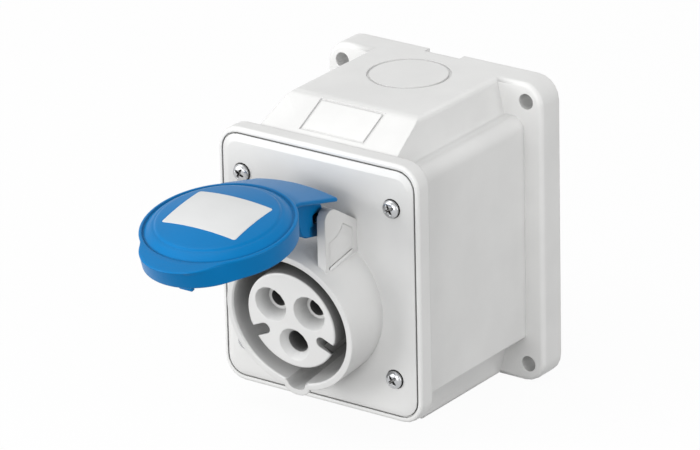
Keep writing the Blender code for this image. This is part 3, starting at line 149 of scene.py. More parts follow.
# Matt paper. The camera sees mostly its glow, and a share of the matt sheet brings the shadow.
paper = bpy.data.materials.new("white_backdrop_paper")
paper.use_nodes = True
tree = paper.node_tree
tree.nodes.clear()
share = add_node(
    tree, "ShaderNodeMath", {0: seen_directly(tree), 1: 1.0 - FLOOR_SHADOW_SHARE}, operation="MULTIPLY"
)
matt = add_node(tree, "ShaderNodeBsdfDiffuse", {"Color": linear(FLOOR_COLOUR)})
glow = add_node(tree, "ShaderNodeEmission", {"Color": WHITE, "Strength": FLOOR_GLOW})
mixed = add_node(tree, "ShaderNodeMixShader", {0: share.outputs[0], 1: matt.outputs[0], 2: glow.outputs[0]})
add_node(tree, "ShaderNodeOutputMaterial", {"Surface": mixed.outputs[0]})
floor_mesh.materials.append(paper)

world = bpy.data.worlds.new("studio")
world.use_nodes = True
bpy.context.scene.world = world
tree = world.node_tree
tree.nodes.clear()
level = add_node(
    tree,
    "ShaderNodeMapRange",
    {"Value": seen_directly(tree), "To Min": SKY_STRENGTH, "To Max": BACKDROP_STRENGTH},
)
sky = add_node(tree, "ShaderNodeBackground", {"Color": WHITE, "Strength": level.outputs[0]})
add_node(tree, "ShaderNodeOutputWorld", {"Surface": sky.outputs[0]})

# Four square soft boxes that look at the socket: place, width and power.
for name, place, size, power in (
    ("key_box", (-0.5, -0.4, 1.28), 1.1, 6.6),
    ("side_box", (1.35, -0.05, 0.3), 0.9, 8.6),
    ("left_box", (-0.8, -1.1, 0.25), 0.8, 12.0),
    ("front_box", (0.3, -1.6, 0.24), 0.56, 10.4),
):
    data = bpy.data.lights.new(name, "AREA")
    data.shape = "SQUARE"
    data.size = size
    data.energy = power
    light = bpy.data.objects.new(name, data)
    turned = (LIGHT_AIM - Vector(place)).to_track_quat("-Z", "Y").to_matrix().to_4x4()
    light.matrix_world = Matrix.Translation(place) @ turned
    bpy.context.scene.collection.objects.link(light)


# Back box. A deep moulding of light grey thermoplastic: flange on the wall, two humps
# for the cable entries and a collar that frames the cover. Its edges are softly rounded.

BOX_GREY = "#D6D6D5"
PLASTIC_IOR = 1.5
FLOW_SIZE = 22.0 * MM
FLOW_TONE = 0.03
FLOW_GLOSS = 0.03
GRAIN_STRENGTH = 5.0
# Painted shade in the plastics: the open share at which it is darkest, and its darkest tone.
PAINTED_SHADE_SHARE = 0.1
PAINTED_SHADE_TONE = 0.06
MERGE_DISTANCE = 0.002 * MM
FLAT_ANGLE = math.radians(0.4)
SHARP_ANGLE = math.radians(30.0)
FACING = 0.9995

# The mould's real grain is about 0.1 mm. It is drawn coarser, so that it shows.
MOULD_GRAIN = 0.35 * MM


def new_finish(name):
    """A new material, with its node tree, its shader and the socket of the piece's own coordinates."""
    made = bpy.data.materials.new(name)
    made.use_nodes = True
    tree = made.node_tree
    return made, tree, tree.nodes["Principled BSDF"], add_node(tree, "ShaderNodeTexCoord").outputs["Object"]


def moulded_plastic(
    name, colour, roughness, bump=0.02, edge=0.45 * MM, hollow=2.0 * MM, clear=0.42, shine=0.5
):
    """Injection-moulded plastic: an even colour with faint flow clouds, a satin grain "bump" mm high and
    edges softened by "edge". Its colour is darkened in gaps and pockets as painted shade, where the open
    share of what lies within "hollow" falls under "clear"."""
    made, tree, shader, place = new_finish(name)
    shader.inputs["IOR"].default_value = PLASTIC_IOR
    shader.inputs["Specular IOR Level"].default_value = shine
    clouds = add_node(tree, "ShaderNodeTexNoise", {"Vector": place, "Scale": 1.0 / FLOW_SIZE, "Detail": 3.0})
    flow = add_node(tree, "ShaderNodeValToRGB", {"Fac": clouds.outputs["Fac"]})
    ends = ((0.35, 1.0 - FLOW_TONE), (0.65, 1.0 + FLOW_TONE))
    for stop, (position, factor) in zip(flow.color_ramp.elements, ends):
        stop.position = position
        stop.color = tuple(min(1.0, part * factor) for part in linear(colour)[:3]) + (1.0,)
    # Painted shade: ambient occlusion darkens the colour in gaps and pockets.
    open_share = add_node(tree, "ShaderNodeAmbientOcclusion", {"Distance": hollow}, samples=8)
    painted_shade = add_node(
        tree,
        "ShaderNodeMapRange",
        {
            "Value": open_share.outputs["AO"],
            "From Min": PAINTED_SHADE_SHARE,
            "From Max": clear,
            "To Min": PAINTED_SHADE_TONE,
            "To Max": 1.0,
        },
        interpolation_type="SMOOTHSTEP",
    )
    shaded = add_node(
        tree, "ShaderNodeHueSaturation", {"Value": painted_shade.outputs[0], "Color": flow.outputs["Color"]}
    )
    tree.links.new(shaded.outputs["Color"], shader.inputs["Base Color"])
    gloss = add_node(
        tree,
        "ShaderNodeMapRange",
        {"Value": clouds.outputs["Fac"], "To Min": roughness - FLOW_GLOSS, "To Max": roughness + FLOW_GLOSS},
    )
    tree.links.new(gloss.outputs[0], shader.inputs["Roughness"])
    grain = add_node(
        tree, "ShaderNodeTexNoise", {"Vector": place, "Scale": 1.0 / MOULD_GRAIN, "Detail": 2.0}
    )
    soft_edge = add_node(tree, "ShaderNodeBevel", {"Radius": edge}, samples=6)
    relief = add_node(
        tree,
        "ShaderNodeBump",
        {
            "Height": grain.outputs["Fac"],
            "Strength": bump * GRAIN_STRENGTH,
            "Distance": bump * MM,
            "Normal": soft_edge.outputs[0],
        },
    )
    tree.links.new(relief.outputs[0], shader.inputs["Normal"])
    return made


def merged_copy(node, front=None):
    """A merged copy of a frame node with smooth curves. Flat areas become single faces, or else
    the ones that look along "front" stay plane up to their edges."""
    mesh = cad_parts[node].data.copy()
    mesh.name = node + "_skin"
    form = bmesh.new()
    form.from_mesh(mesh)
    bmesh.ops.remove_doubles(form, verts=form.verts, dist=MERGE_DISTANCE)
    if front is None:
        bmesh.ops.dissolve_limit(form, angle_limit=FLAT_ANGLE, verts=form.verts, edges=form.edges)
    form.to_mesh(mesh)
    form.free()
    mesh.materials.clear()
    made = bpy.data.objects.new(mesh.name, mesh)
    bpy.context.scene.collection.objects.link(made)
    mesh.shade_smooth()
    mesh.set_sharp_from_angle(angle=SHARP_ANGLE)
    if front is not None:
        form = bmesh.new()
        form.from_mesh(mesh)
        for edge in form.edges:
            plane = [face.normal.dot(front) > FACING for face in edge.link_faces]
            edge.smooth = edge.smooth and any(plane) == all(plane)
        form.to_mesh(mesh)
        form.free()
    even = made.modifiers.new("even_shading", "WEIGHTED_NORMAL")
    even.keep_sharp = True
    even.weight = 80
    return made


def dress(piece, finish, body, node=None):
    """Gives a piece its material and body, and lets it stand for a node of the frame."""
    piece.data.materials.append(finish)
    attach(piece, body)
    if node is not None:
        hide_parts(node)


# Polyamide from a lightly spark-eroded mould: satin, with broad soft highlights.
# Painted shade darkens it in narrow gaps.
box_finish = moulded_plastic("moulded_box_plastic", BOX_GREY, 0.38, clear=0.2)
dress(merged_copy("back_box"), box_finish, "housing", "back_box")


# Cover. One moulding of plate, tilted shroud with its keyway, and hinge ears, in the same
# light grey plastic as the box. Four screws hold it in the box's collar.

COVER_GREY = "#D0D0CF"

# As satin as the box, with painted shade that darkens it in the shroud's well.
cover_finish = moulded_plastic("moulded_cover_plastic", COVER_GREY, 0.36, hollow=14.0 * MM, clear=0.37)
dress(merged_copy("cover_housing"), cover_finish, "housing", "cover_housing")


# Cover gasket. A flat ring of grey rubber, pressed between the cover and the box's ledge.
# Its lip stands in the gap round the cover, and its paler grey is painted light there.

GASKET_GREY = "#8A8A88"
LIP_PAINTED_LIGHT_GREY = "#BDBDBB"
RUBBER_GRAIN = 0.6 * MM
RUBBER_RELIEF = 0.05 * MM
COVER_HALF_WIDTH = 38.06 * MM
COVER_HALF_HEIGHT = 42.95 * MM
COVER_CORNER = 6.2 * MM
COVER_CENTRE_Z = 0.45 * MM
LIP_CORNER_STEPS = 12
LIP_SHARP = 50.0

# The lip's section: how far out it is from the cover's edge, and from the wall.
LIP_SECTION = np.array(
    [(0.06, 75.6), (0.06, 76.5), (0.2, 76.62), (0.4, 76.62), (0.54, 76.5), (0.54, 75.6)]
) * MM


def rubber(name, colour):
    """Moulded rubber: dull all over, with a fine even grain that breaks up its sheen."""
    made, tree, shader, place = new_finish(name)
    shader.inputs["Base Color"].default_value = linear(colour)
    grain = add_node(tree, "ShaderNodeTexNoise", {"Vector": place, "Scale": 1.0 / RUBBER_GRAIN})
    height = grain.outputs["Fac"]
    dull = add_node(tree, "ShaderNodeMapRange", {"Value": height, "To Min": 0.55, "To Max": 0.8})
    tree.links.new(dull.outputs[0], shader.inputs["Roughness"])
    relief = add_node(tree, "ShaderNodeBump", {"Height": height, "Strength": 0.1, "Distance": RUBBER_RELIEF})
    tree.links.new(relief.outputs[0], shader.inputs["Normal"])
    return made


def refinish(node, finish):
    """Gives its material to a node of the frame that keeps its own shape."""
    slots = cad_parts[node].data.materials
    slots.clear()
    slots.append(finish)


def new_piece(name, points, faces, sharp):
    """A mesh from points and faces. Its faces are turned outwards, and it is smooth except where they
    meet at more than "sharp" degrees."""
    mesh = bpy.data.meshes.new(name)
    mesh.from_pydata(points.tolist(), [], faces)
    form = bmesh.new()
    form.from_mesh(mesh)
    bmesh.ops.recalc_face_normals(form, faces=form.faces)
    form.to_mesh(mesh)
    form.free()
    made = bpy.data.objects.new(name, mesh)
    bpy.context.scene.collection.objects.link(made)
    mesh.shade_smooth()
    mesh.set_sharp_from_angle(angle=math.radians(sharp))
    return made


def gap_lip():
    """The lip's section, carried round the cover's outline. In each corner, a turn t of the quarter circle
    stands at the corner's centre plus (corner radius + distance out) (cos t, sin t)."""
    count = LIP_CORNER_STEPS + 1
    turn = np.concatenate([np.linspace(k, k + 1, count) for k in range(4)]) * math.pi / 2
    side = np.repeat([(1, 1), (-1, 1), (-1, -1), (1, -1)], count, axis=0)
    rows = []
    for out, height in LIP_SECTION:
        x = side[:, 0] * (COVER_HALF_WIDTH - COVER_CORNER) + (COVER_CORNER + out) * np.cos(turn)
        z = side[:, 1] * (COVER_HALF_HEIGHT - COVER_CORNER) + (COVER_CORNER + out) * np.sin(turn)
        rows.append(np.stack([x, np.full_like(x, -height), z + COVER_CENTRE_Z], axis=1))
    index = np.arange(len(rows) * len(turn)).reshape(len(rows), len(turn))
    along = np.roll(index, -1, axis=1)
    quads = np.stack([index, along, np.roll(along, -1, axis=0), np.roll(index, -1, axis=0)], axis=-1)
    return new_piece("cover_gasket_lip", np.concatenate(rows), quads.reshape(-1, 4).tolist(), LIP_SHARP)


# Both are dull. The lip's paler grey is painted light in the gap.
refinish("cover_gasket", rubber("moulded_grey_rubber", GASKET_GREY))
dress(gap_lip(), rubber("pale_rubber_painted_light", LIP_PAINTED_LIGHT_GREY), "housing")


# Screws and hinge pin. Steel with bright zinc plating. The four cover screws have pan heads with
# a cross recess, and the carrier's screws and the pin keep the plain shapes of the frame.

ZINC_GREY = "#B9BABC"
# Painted shade in the metals' hollows: its grey, its reach and how steeply it comes in.
RECESS_SHADE_GREY = "#585653"
PATCH_SIZE = 1.2 * MM
RECESS_SHADE_REACH = 1.6 * MM
RECESS_SHADE_POWER = 2.4
SHELL_SHARP = 38.0
SCREW_PITCH = 60.0 * MM
SCREW_SEAT = 77.4 * MM
SCREW_TURNS = (28.0, 62.0, 12.0, 50.0)
HEAD_RADIUS = 3.05 * MM
HEAD_HEIGHT = 2.4 * MM
HEAD_SIDE = 1.35 * MM
CROWN_RADIUS = 2.9 * MM
CROWN_FALL = 0.75 * MM
RECESS_DEPTH = 0.9 * MM
SLOT_HALF_WIDTH = 0.55 * MM
SLOT_HALF_LENGTH = 1.9 * MM
SLOT_TAPER = 0.08
SLOT_WALL = 0.24 * MM
SLOT_END = 0.7 * MM
SHANK_RADIUS = 1.9 * MM
SHANK_LENGTH = 16.0 * MM
SHANK_TIP = 1.0 * MM
HEAD_CHAMFER = 0.1 * MM


def worked_metal(name, colour, roughness):
    """Plated or drawn metal: its gloss is a little cloudy, and its colour is darkened in hollows as painted
    shade.
    """
    made, tree, shader, place = new_finish(name)
    shader.inputs["Metallic"].default_value = 1.0
    # Painted shade: ambient occlusion darkens the colour in hollows.
    open_share = add_node(tree, "ShaderNodeAmbientOcclusion", {"Distance": RECESS_SHADE_REACH}, samples=8)
    unshaded = add_node(tree, "ShaderNodeMath", {0: open_share.outputs["AO"], 1: RECESS_SHADE_POWER}, operation="POWER")
    ramp = add_node(tree, "ShaderNodeValToRGB", {"Fac": unshaded.outputs[0]})
    ramp.color_ramp.elements[0].color = linear(RECESS_SHADE_GREY)
    ramp.color_ramp.elements[1].color = linear(colour)
    tree.links.new(ramp.outputs["Color"], shader.inputs["Base Color"])
    patches = add_node(tree, "ShaderNodeTexNoise", {"Vector": place, "Scale": 1.0 / PATCH_SIZE})
    dull = add_node(
        tree,
        "ShaderNodeMapRange",
        {"Value": patches.outputs["Fac"], "To Min": roughness - 0.06, "To Max": roughness + 0.1},
    )
    tree.links.new(dull.outputs[0], shader.inputs["Roughness"])
    return made


def skin(name, shells, place=Matrix.Identity(4)):
    """One mesh of closed shells. A shell is rows of points, joined by quads, with a flat cap on each end."""
    points = []
    faces = []
    first = 0
    for rows in shells:
        count = rows.shape[1]
        index = first + np.arange(len(rows) * count).reshape(len(rows), count)
        ahead = np.roll(index, -1, axis=1)
        quads = np.stack([index[:-1], ahead[:-1], ahead[1:], index[1:]], axis=-1).reshape(-1, 4)
        faces += quads.tolist() + [index[0].tolist(), index[-1].tolist()]
        points.append(rows.reshape(-1, 3))
        first += index.size
    turned = np.array(place)
    placed = np.concatenate(points) @ turned[:3, :3].T + turned[:3, 3]
    return new_piece(name, placed, faces, SHELL_SHARP)


def cross_screw(turned):
    """A pan head screw along z. Its top is z = height - fall (r / crown radius)^4, less the recess's depth
    where one of two crossed slots is cut. A slot narrows outwards, and its walls and ends slope."""
    turn = np.linspace(0.0, 2 * math.pi, 96, endpoint=False)
    rows = []

    def ring(radius, level):
        level = np.broadcast_to(level, turn.shape)
        rows.append(np.stack([radius * np.cos(turn), radius * np.sin(turn), level], axis=1))

    for radius in np.array((*np.linspace(0.05, 2.85, 36), 2.93, 3.0)) * MM:
        x = np.abs(radius * np.cos(turn + turned))
        y = np.abs(radius * np.sin(turn + turned))
        cut = np.zeros_like(turn)
        for along, across in ((x, y), (y, x)):
            wide = np.clip((SLOT_HALF_WIDTH - SLOT_TAPER * along - across) / SLOT_WALL, 0.0, 1.0)
            long = np.clip((SLOT_HALF_LENGTH - along) / SLOT_END, 0.0, 1.0)
            cut = np.maximum(cut, wide * long)
        ring(radius, HEAD_HEIGHT - CROWN_FALL * (radius / CROWN_RADIUS) ** 4 - RECESS_DEPTH * cut)
    ring(HEAD_RADIUS, HEAD_SIDE)
    ring(HEAD_RADIUS, HEAD_CHAMFER)
    ring(HEAD_RADIUS - HEAD_CHAMFER, 0.0)
    ring(SHANK_RADIUS, 0.0)
    ring(SHANK_RADIUS, SHANK_TIP - SHANK_LENGTH)
    ring(SHANK_RADIUS - SHANK_TIP, -SHANK_LENGTH)
    return np.array(rows)


# Zinc plating: a bright, slightly cloudy mirror, with painted shade in its cross recesses.
zinc_finish = worked_metal("bright_zinc_steel", ZINC_GREY, 0.24)
half = SCREW_PITCH / 2
screw_places = [(x * half, COVER_CENTRE_Z + z * half) for z in (1, -1) for x in (-1, 1)]
for number, ((x, z), turned) in enumerate(zip(screw_places, SCREW_TURNS), 1):
    spot = Matrix.Translation((x, -SCREW_SEAT, z)) @ Matrix.Rotation(math.radians(90.0), 4, "X")
    screw = skin(f"cover_screw_{number}_skin", [cross_screw(math.radians(turned))], spot)
    dress(screw, zinc_finish, "housing", f"cover_screw_{number}")
for node in ("carrier_screw_left", "carrier_screw_right", "hinge_pin"):
    refinish(node, zinc_finish)


# Contacts. Three sleeves of drawn brass for line, neutral and earth, held in the carrier.
# Each ends in a terminal with a zinc plated clamping screw.

BRASS_YELLOW = "#C9A765"

# Drawn brass: warm, with a duller shine than the plating, and painted shade in its hollows.
brass_finish = worked_metal("drawn_brass", BRASS_YELLOW, 0.3)
for pole in ("line", "neutral", "earth"):
    refinish(f"contact_{pole}", brass_finish)
    refinish(f"terminal_screw_{pole}", zinc_finish)


# Beads on the hinge ears. A rounded ridge runs along the foot of each ear's recess.
# They are part of the cover's moulding.

EAR_FACE = 16.0 * MM
EAR_FOOT = 78.0 * MM
EAR_LEAN = math.tan(math.radians(3.1))
BEAD_FRONT = 92.5 * MM
BEAD_RUN = 12.2 * MM
BEAD_Z = 10.7 * MM
BEAD_RISE = 3.05 * MM
BEAD_PROUD = 0.05 * MM
BEAD_HALF_THICKNESS = 0.5 * MM
BEAD_HALF_HEIGHT = 0.65 * MM

# The bead's rings: the share of its run that lies behind each, and its size.
BEAD_RINGS = (
    (0.0, 0.1), (0.01, 0.7), (0.04, 1.0), (0.3, 1.0), (0.6, 1.0), (0.96, 1.0), (0.99, 0.7), (1.0, 0.1)
)


def ear_bead(side):
    """Oval rings on a straight line that follows the ear's leaning face from its front to its back."""
    turn = np.linspace(0.0, 2 * math.pi, 20, endpoint=False)
    rows = []
    for share, size in BEAD_RINGS:
        depth = BEAD_FRONT - BEAD_RUN * share
        face = EAR_FACE - EAR_LEAN * (depth - EAR_FOOT) + BEAD_PROUD
        x = side * (face + BEAD_HALF_THICKNESS * size * np.cos(turn))
        z = BEAD_Z + BEAD_RISE * share + BEAD_HALF_HEIGHT * size * np.sin(turn)
        rows.append(np.stack([x, np.full_like(x, -depth), z], axis=1))
    return np.array(rows)


dress(skin("ear_beads", [ear_bead(-1), ear_bead(1)]), cover_finish, "housing")


# Contact carrier and its back plate. Pale grey moulded thermoset, a little duller than the cover.
# The carrier stands in the shroud and looks along its axis, which is tilted down.

CARRIER_GREY = "#D3D3D2"
SHROUD_TILT = math.radians(8.0)
shroud_axis = Vector((0.0, -math.cos(SHROUD_TILT), -math.sin(SHROUD_TILT)))

# Close to matt, with painted shade that darkens it down in the mouths.
carrier_finish = moulded_plastic("moulded_carrier_plastic", CARRIER_GREY, 0.42, hollow=11.0 * MM, clear=0.75)
carrier = merged_copy("contact_carrier", shroud_axis)
dress(carrier, carrier_finish, "housing", "contact_carrier")
refinish("carrier_back", carrier_finish)


# Lid. A domed cap with a skirt, a thumb lip that grows out of its front, and a crowned arm
# with the knuckle under it. It is one blue moulding, drawn in its own frame: x across,
# f from the hinge towards the lip, n out of its top. A black rubber seal lies in its mouth.

LID_BLUE = "#006CA8"
SEAL_BLACK = "#1B1B1C"
HINGE_PLACE = Vector((0.0, -91.8 * MM, 27.5 * MM))
LID_TILT = math.radians(9.6)
LID_REACH = 37.06 * MM
LID_EDGE = 15.98 * MM
LID_MOUTH = 8.68 * MM
SEAL_LAND = 24.75 * MM
DOME_RADIUS = 20.3 * MM
DOME_FOOT = 2.2 * MM
DOME_RISE = 2.2 * MM
DISC_RADIUS = 25.7 * MM
DISC_DRAFT = 0.6 * MM
THUMB_CENTRE = 14.07 * MM
THUMB_SHIFT = 5.32 * MM
THUMB_RADIUS = 17.3 * MM
THUMB_GAIN = 3.0 * MM
THUMB_BLEND = 1.2 * MM
RIM_RADIUS = 24.85 * MM
RIM_RISE = 0.12 * MM
RIM_SLOPE = 0.09
RIM_FALL = 0.5 * MM
SHOULDER = 0.55 * MM
SKIRT_WALL = 1.8 * MM
SKIRT_DEPTH = 4.4 * MM
SKIRT_SOFT = 0.25 * MM
ARM_HALF_WIDTH = 16.0 * MM
ARM_THICKNESS = 1.7 * MM
ARM_TAIL = -4.95 * MM
ARM_TAIL_RISE = 6.47 * MM
ARM_SLOPE = 0.438
ARM_CROWN = 1.8 * MM
ARM_BLEND = 1.6 * MM
ARM_SINK = 0.25 * MM
ARM_END_RADIUS = 24.9 * MM
CHEEK_HALF = 10.5 * MM
BARREL_HALF = 9.6 * MM
CATCH_HALF_WIDTH = 2.6 * MM
CATCH_HALF_DEPTH = 0.8 * MM
CATCH_PLACE = 20.0 * MM
CATCH_DROP = 6.3 * MM
CATCH_ROOT = 6.6 * MM
KNUCKLE_SOFT = 0.35 * MM

# The cap's rows over its dome, and then radius and rise of its step, its slope and its groove.
DOME_ROWS = np.array([0.3, 4.0, 8.0, 12.0, 15.0, 17.5, 19.0, 19.7]) * MM
GROOVE_PROFILE = np.array(
    [
        (20.05, 2.2), (20.3, 1.95), (20.5, 1.72), (20.75, 1.6), (21.1, 1.56), (21.5, 1.42),
        (22.3, 0.92), (23.0, 0.4), (23.5, 0.02), (23.8, -0.26), (24.0, -0.42), (24.2, -0.46),
        (24.38, -0.34), (24.55, -0.08), (24.68, 0.08), (24.85, 0.14),
    ]
) * MM

# Radius and depth of the cap's inside, from the seal's land to the middle of the vault.
INSIDE_PROFILE = np.array(
    [
        (24.1, 0.0), (23.9, 0.2), (23.9, 3.2), (21.6, 3.2), (21.6, 5.4), (19.3, 7.3), (12.0, 7.55),
        (5.0, 7.6), (0.3, 7.6),
    ]
) * MM

# The arm's tail rounds off: share of the arm's length, and how much thinner it is there.
TAIL_PROFILE = ((0.0, 0.55 * MM), (0.004, 0.25 * MM), (0.018, 0.08 * MM), (0.04, 0.0))

# Outlines of the knuckle from the side: f, n and the corner's radius.
CHEEK_OUTLINE = np.array(
    [
        (-2.4, 7.9, 0.3), (-2.4, 2.4, 0.4), (2.4, 2.4, 0.4), (2.7, -1.68, 0.5), (4.6, -0.96, 0.3),
        (5.4, -4.3, 0.5), (8.9, -1.9, 0.8), (11.46, 8.98, 0.3), (12.6, 8.98, 0.0), (12.6, 14.4, 0.0),
    ]
) * MM
BARREL_OUTLINE = np.array(
    [
        (-4.3, 1.0, 0.8), (-4.3, -3.5, 0.9), (0.5, -6.6, 0.6), (6.4, -4.3, 0.5), (6.4, 6.0, 0.3),
        (-3.0, 6.0, 0.4),
    ]
) * MM


def inset(outline, width):
    """A closed outline moved inwards. Each corner moves by width (a + b) / (1 + a.b), where a and b
    are the normals of its two sides."""
    side = np.roll(outline, -1, axis=0) - outline
    out = np.stack([side[:, 1], -side[:, 0]], axis=1) / np.linalg.norm(side, axis=1)[:, None]
    before = np.roll(out, 1, axis=0)
    meet = 1.0 + (out * before).sum(axis=1)
    area = (outline[:, 0] * np.roll(outline[:, 1], -1) - np.roll(outline[:, 0], -1) * outline[:, 1]).sum()
    return outline - math.copysign(width, area) * (out + before) / np.maximum(meet, 0.3)[:, None]


def fillet(corners, steps):
    """A closed outline of (x, y, radius) corners, each an arc that touches its two sides."""
    points = []
    for index, (x, y, radius) in enumerate(corners):
        corner = np.array((x, y))
        before = corners[index - 1][:2] - corner
        after = corners[(index + 1) % len(corners)][:2] - corner
        before = before / np.linalg.norm(before)
        after = after / np.linalg.norm(after)
        if radius <= 0.0:
            points.append(corner)
            continue
        half = math.acos(max(-1.0, min(1.0, float(before @ after)))) / 2
        middle = (before + after) / np.linalg.norm(before + after)
        across = (before - after) / np.linalg.norm(before - after)
        centre = corner + middle * radius / math.sin(half)
        sweep = math.pi / 2 - half
        for turn in np.linspace(sweep, -sweep, steps + 1):
            points.append(centre + radius * (across * math.sin(turn) - middle * math.cos(turn)))
    return np.array(points)


def rectangle(half_width, half_height, radius):
    """The corners of a rectangle, each with its radius."""
    sides = ((-1, -1), (1, -1), (1, 1), (-1, 1))
    return np.array([(x * half_width, y * half_height, radius) for x, y in sides])


def divided(outline, step):
    """A closed outline with points along its straight sides too, about a step apart."""
    points = []
    for here, there in zip(outline, np.roll(outline, -1, axis=0)):
        pieces = max(1, int(np.linalg.norm(there - here) / step))
        points += [here + (there - here) * piece / pieces for piece in range(pieces)]
    return np.array(points)


def slab(outline, low, high, soft, axes=(0, 1, 2), steps=4):
    """Rows of an outline drawn from low to high. Quarter circles of radius "soft" round its two ends."""
    turns = np.linspace(0.0, math.pi / 2, steps + 1)
    levels = [(soft * (1 - math.sin(turn)), low + soft * (1 - math.cos(turn))) for turn in turns]
    levels += [(soft * (1 - math.cos(turn)), high - soft * (1 - math.sin(turn))) for turn in turns]
    rows = np.empty((len(levels), len(outline), 3))
    for row, (width, level) in zip(rows, levels):
        row[:, axes[:2]] = inset(outline, width)
        row[:, axes[2]] = level
    return rows


def softer_max(one, other, width):
    """max(a, b), plus (width - |a - b|)^2 / (4 width) where the two are nearer than width."""
    near = np.maximum(width - np.abs(one - other), 0.0)
    return np.maximum(one, other) + near**2 / (4 * width)


def dome(reach):
    """The dome's height over the cap's edge, r from its middle: foot + rise (1 - (r / radius)^2)."""
    return DOME_FOOT + DOME_RISE * (1 - (reach / DOME_RADIUS) ** 2)


def lid_cap():
    """The cap in polar form about its middle, from its dome over the side into its vault. With t the turn
    from the thumb lip, its side stands at r = the larger of the disc's radius and the thumb lip's, which
    is c cos(t) + sqrt(R^2 - c^2 sin(t)^2). The disc's radius, c and R go evenly from edge to mouth."""
    turn = np.linspace(0.0, 2 * math.pi, 288, endpoint=False)
    rows = []

    def side(level):
        down = (LID_EDGE - level) / (LID_EDGE - LID_MOUTH)
        disc = np.full_like(turn, DISC_RADIUS - DISC_DRAFT * down)
        centre = THUMB_CENTRE - THUMB_SHIFT * down
        radius = THUMB_RADIUS + THUMB_GAIN * down
        thumb = centre * np.cos(turn) + np.sqrt(radius**2 - (centre * np.sin(turn)) ** 2)
        return softer_max(disc, thumb, THUMB_BLEND)

    def row(radius, level):
        radius = np.broadcast_to(radius, turn.shape)
        level = np.broadcast_to(level, turn.shape)
        rows.append(np.stack([radius * np.sin(turn), LID_REACH + radius * np.cos(turn), level], axis=1))

    for radius in DOME_ROWS:
        row(radius, LID_EDGE + dome(radius))
    for radius, rise in GROOVE_PROFILE:
        row(radius, LID_EDGE + rise)
    crown = side(LID_EDGE)
    shelf = crown - SHOULDER - RIM_RADIUS
    for share in (0.35, 0.7, 1.0):
        fall = np.minimum(share * shelf * RIM_SLOPE, RIM_FALL)
        row(RIM_RADIUS + share * shelf, LID_EDGE + RIM_RISE - fall)
    shoulder = LID_EDGE + RIM_RISE - np.minimum(shelf * RIM_SLOPE, RIM_FALL)
    for tilt in (22.5, 45.0, 67.5, 90.0):
        lean = math.radians(tilt)
        row(crown - SHOULDER * (1 - math.sin(lean)), shoulder - SHOULDER * (1 - math.cos(lean)))
    for share in (0.15, 0.3, 0.45, 0.6, 0.75, 0.9):
        level = LID_EDGE - share * (LID_EDGE - LID_MOUTH)
        row(side(level), level)
    mouth = side(LID_MOUTH)
    row(side(LID_MOUTH + SKIRT_SOFT), LID_MOUTH + SKIRT_SOFT)
    row(mouth - SKIRT_SOFT / 3, LID_MOUTH + SKIRT_SOFT / 3)
    row(mouth - SKIRT_SOFT, LID_MOUTH)
    pocket = np.maximum(mouth - SKIRT_WALL, SEAL_LAND + 0.05 * MM)
    depth = SKIRT_DEPTH * np.clip((pocket - SEAL_LAND - 0.15 * MM) / (0.5 * MM), 0.0, 1.0)
    row(pocket, LID_MOUTH)
    row(pocket, LID_MOUTH + depth)
    row(SEAL_LAND, LID_MOUTH + depth)
    row(SEAL_LAND - 0.05 * MM, LID_MOUTH)
    for radius, level in INSIDE_PROFILE:
        row(radius, LID_MOUTH + level)
    return np.array(rows)


def lid_arm():
    """The arm's plate. Its top is n = tail's rise + slope (f - tail) + crown (1 - (x / half width)^2), held
    just under the cap's edge, and each of its lines runs from the tail to the cap's circle at its own x."""
    corners = rectangle(ARM_HALF_WIDTH, ARM_THICKNESS / 2, 0.7 * MM) - (0.0, ARM_THICKNESS / 2, 0.0)
    corners[2:, 2] = 0.45 * MM
    across, under = divided(fillet(corners, 4), 1.0 * MM).T
    end = LID_REACH - np.sqrt(ARM_END_RADIUS**2 - across**2)
    rows = []
    for share, thinner in (*TAIL_PROFILE, *((share, 0.0) for share in np.linspace(0.1, 1.0, 16))):
        along = ARM_TAIL + share * (end - ARM_TAIL)
        crown = ARM_CROWN * (1 - (across / ARM_HALF_WIDTH) ** 2)
        slope = ARM_TAIL_RISE + ARM_SLOPE * (along - ARM_TAIL) + crown
        roof = -softer_max(-slope, np.full_like(slope, ARM_SINK - LID_EDGE), ARM_BLEND)
        level = roof + under + np.where(under > -ARM_THICKNESS / 2, -thinner, thinner)
        rows.append(np.stack([across * (1 - thinner / ARM_HALF_WIDTH), along, level], axis=1))
    return np.array(rows)


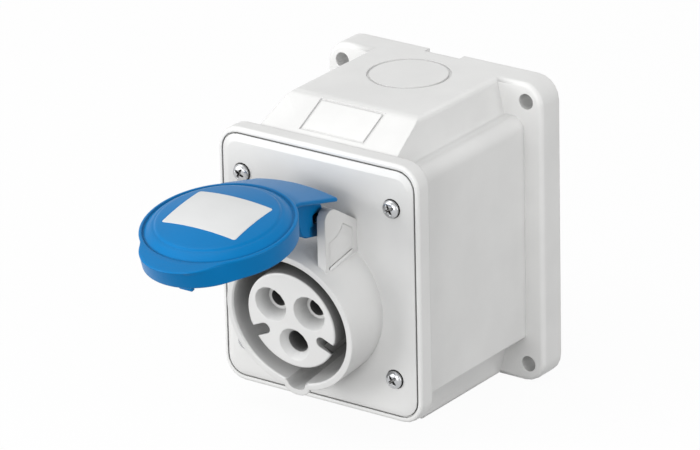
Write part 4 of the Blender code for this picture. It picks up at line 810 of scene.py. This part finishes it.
def lid_knuckle():
    """The knuckle's cheeks, its barrel round the pin and the catch for the plug, as rounded slabs."""
    sideways = (1, 2, 0)
    cheeks = slab(fillet(CHEEK_OUTLINE, 4), -CHEEK_HALF, CHEEK_HALF, KNUCKLE_SOFT, sideways)
    barrel = slab(fillet(BARREL_OUTLINE, 5), -BARREL_HALF, BARREL_HALF, 0.3 * MM, sideways)
    section = fillet(rectangle(CATCH_HALF_WIDTH, CATCH_HALF_DEPTH, 0.3 * MM), 3)
    section += (0.0, LID_REACH + CATCH_PLACE)
    catch = slab(section, LID_MOUTH - CATCH_DROP, LID_MOUTH + CATCH_ROOT, KNUCKLE_SOFT)
    return [cheeks, barrel, catch]


lid_frame = Matrix.Translation(HINGE_PLACE) @ Matrix(
    (
        (-1.0, 0.0, 0.0),
        (0.0, -math.cos(LID_TILT), -math.sin(LID_TILT)),
        (0.0, -math.sin(LID_TILT), math.cos(LID_TILT)),
    )
).to_4x4()

# Blue thermoplastic: a deep colour with a low sheen, and painted shade that darkens it in the groove and
# under the arm.
lid_finish = moulded_plastic("moulded_blue_plastic", LID_BLUE, 0.34, hollow=3.0 * MM, clear=0.85, shine=0.12)
lid_skin = skin("lid_skin", [lid_cap(), lid_arm(), *lid_knuckle()], lid_frame)
dress(lid_skin, lid_finish, "lid", "lid")
dress(merged_copy("lid_seal"), rubber("moulded_black_rubber", SEAL_BLACK), "lid", "lid_seal")


# Label on the lid. A thin white film, stuck on the dome so that it follows
# its curve, and bare.

LABEL_WHITE = "#CACBCB"
LABEL_HALF_WIDTH = 14.5 * MM
LABEL_HALF_HEIGHT = 10.5 * MM
LABEL_CORNER = 0.8 * MM
LABEL_LIFT = 0.1 * MM

# The film's underside and edge: share of its outline, and height over the dome.
FILM_EDGE = (
    (0.03, -LABEL_LIFT), (0.5, -LABEL_LIFT), (1.0, -LABEL_LIFT), (1.0, 0.06 * MM), (0.996, LABEL_LIFT)
)


def lid_label():
    """Rows of the film's outline drawn in towards its middle, each point a fixed height over the dome."""
    outline = divided(fillet(rectangle(LABEL_HALF_WIDTH, LABEL_HALF_HEIGHT, LABEL_CORNER), 5), 0.7 * MM)
    rows = []
    for share, lift in (*FILM_EDGE, *((share, LABEL_LIFT) for share in np.linspace(0.95, 0.03, 16))):
        x, along = (outline * share).T
        level = LID_EDGE + dome(np.hypot(x, along)) + lift
        rows.append(np.stack([x, LID_REACH + along, level], axis=1))
    return np.array(rows)


# Printing film: smooth, and glossier than the lid.
# Painted shade darkens it in narrow gaps.
label_finish = moulded_plastic("white_film", LABEL_WHITE, 0.3, bump=0.005, edge=0.05 * MM)
dress(skin("lid_label_skin", [lid_label()], lid_frame), label_finish, "lid", "lid_label")
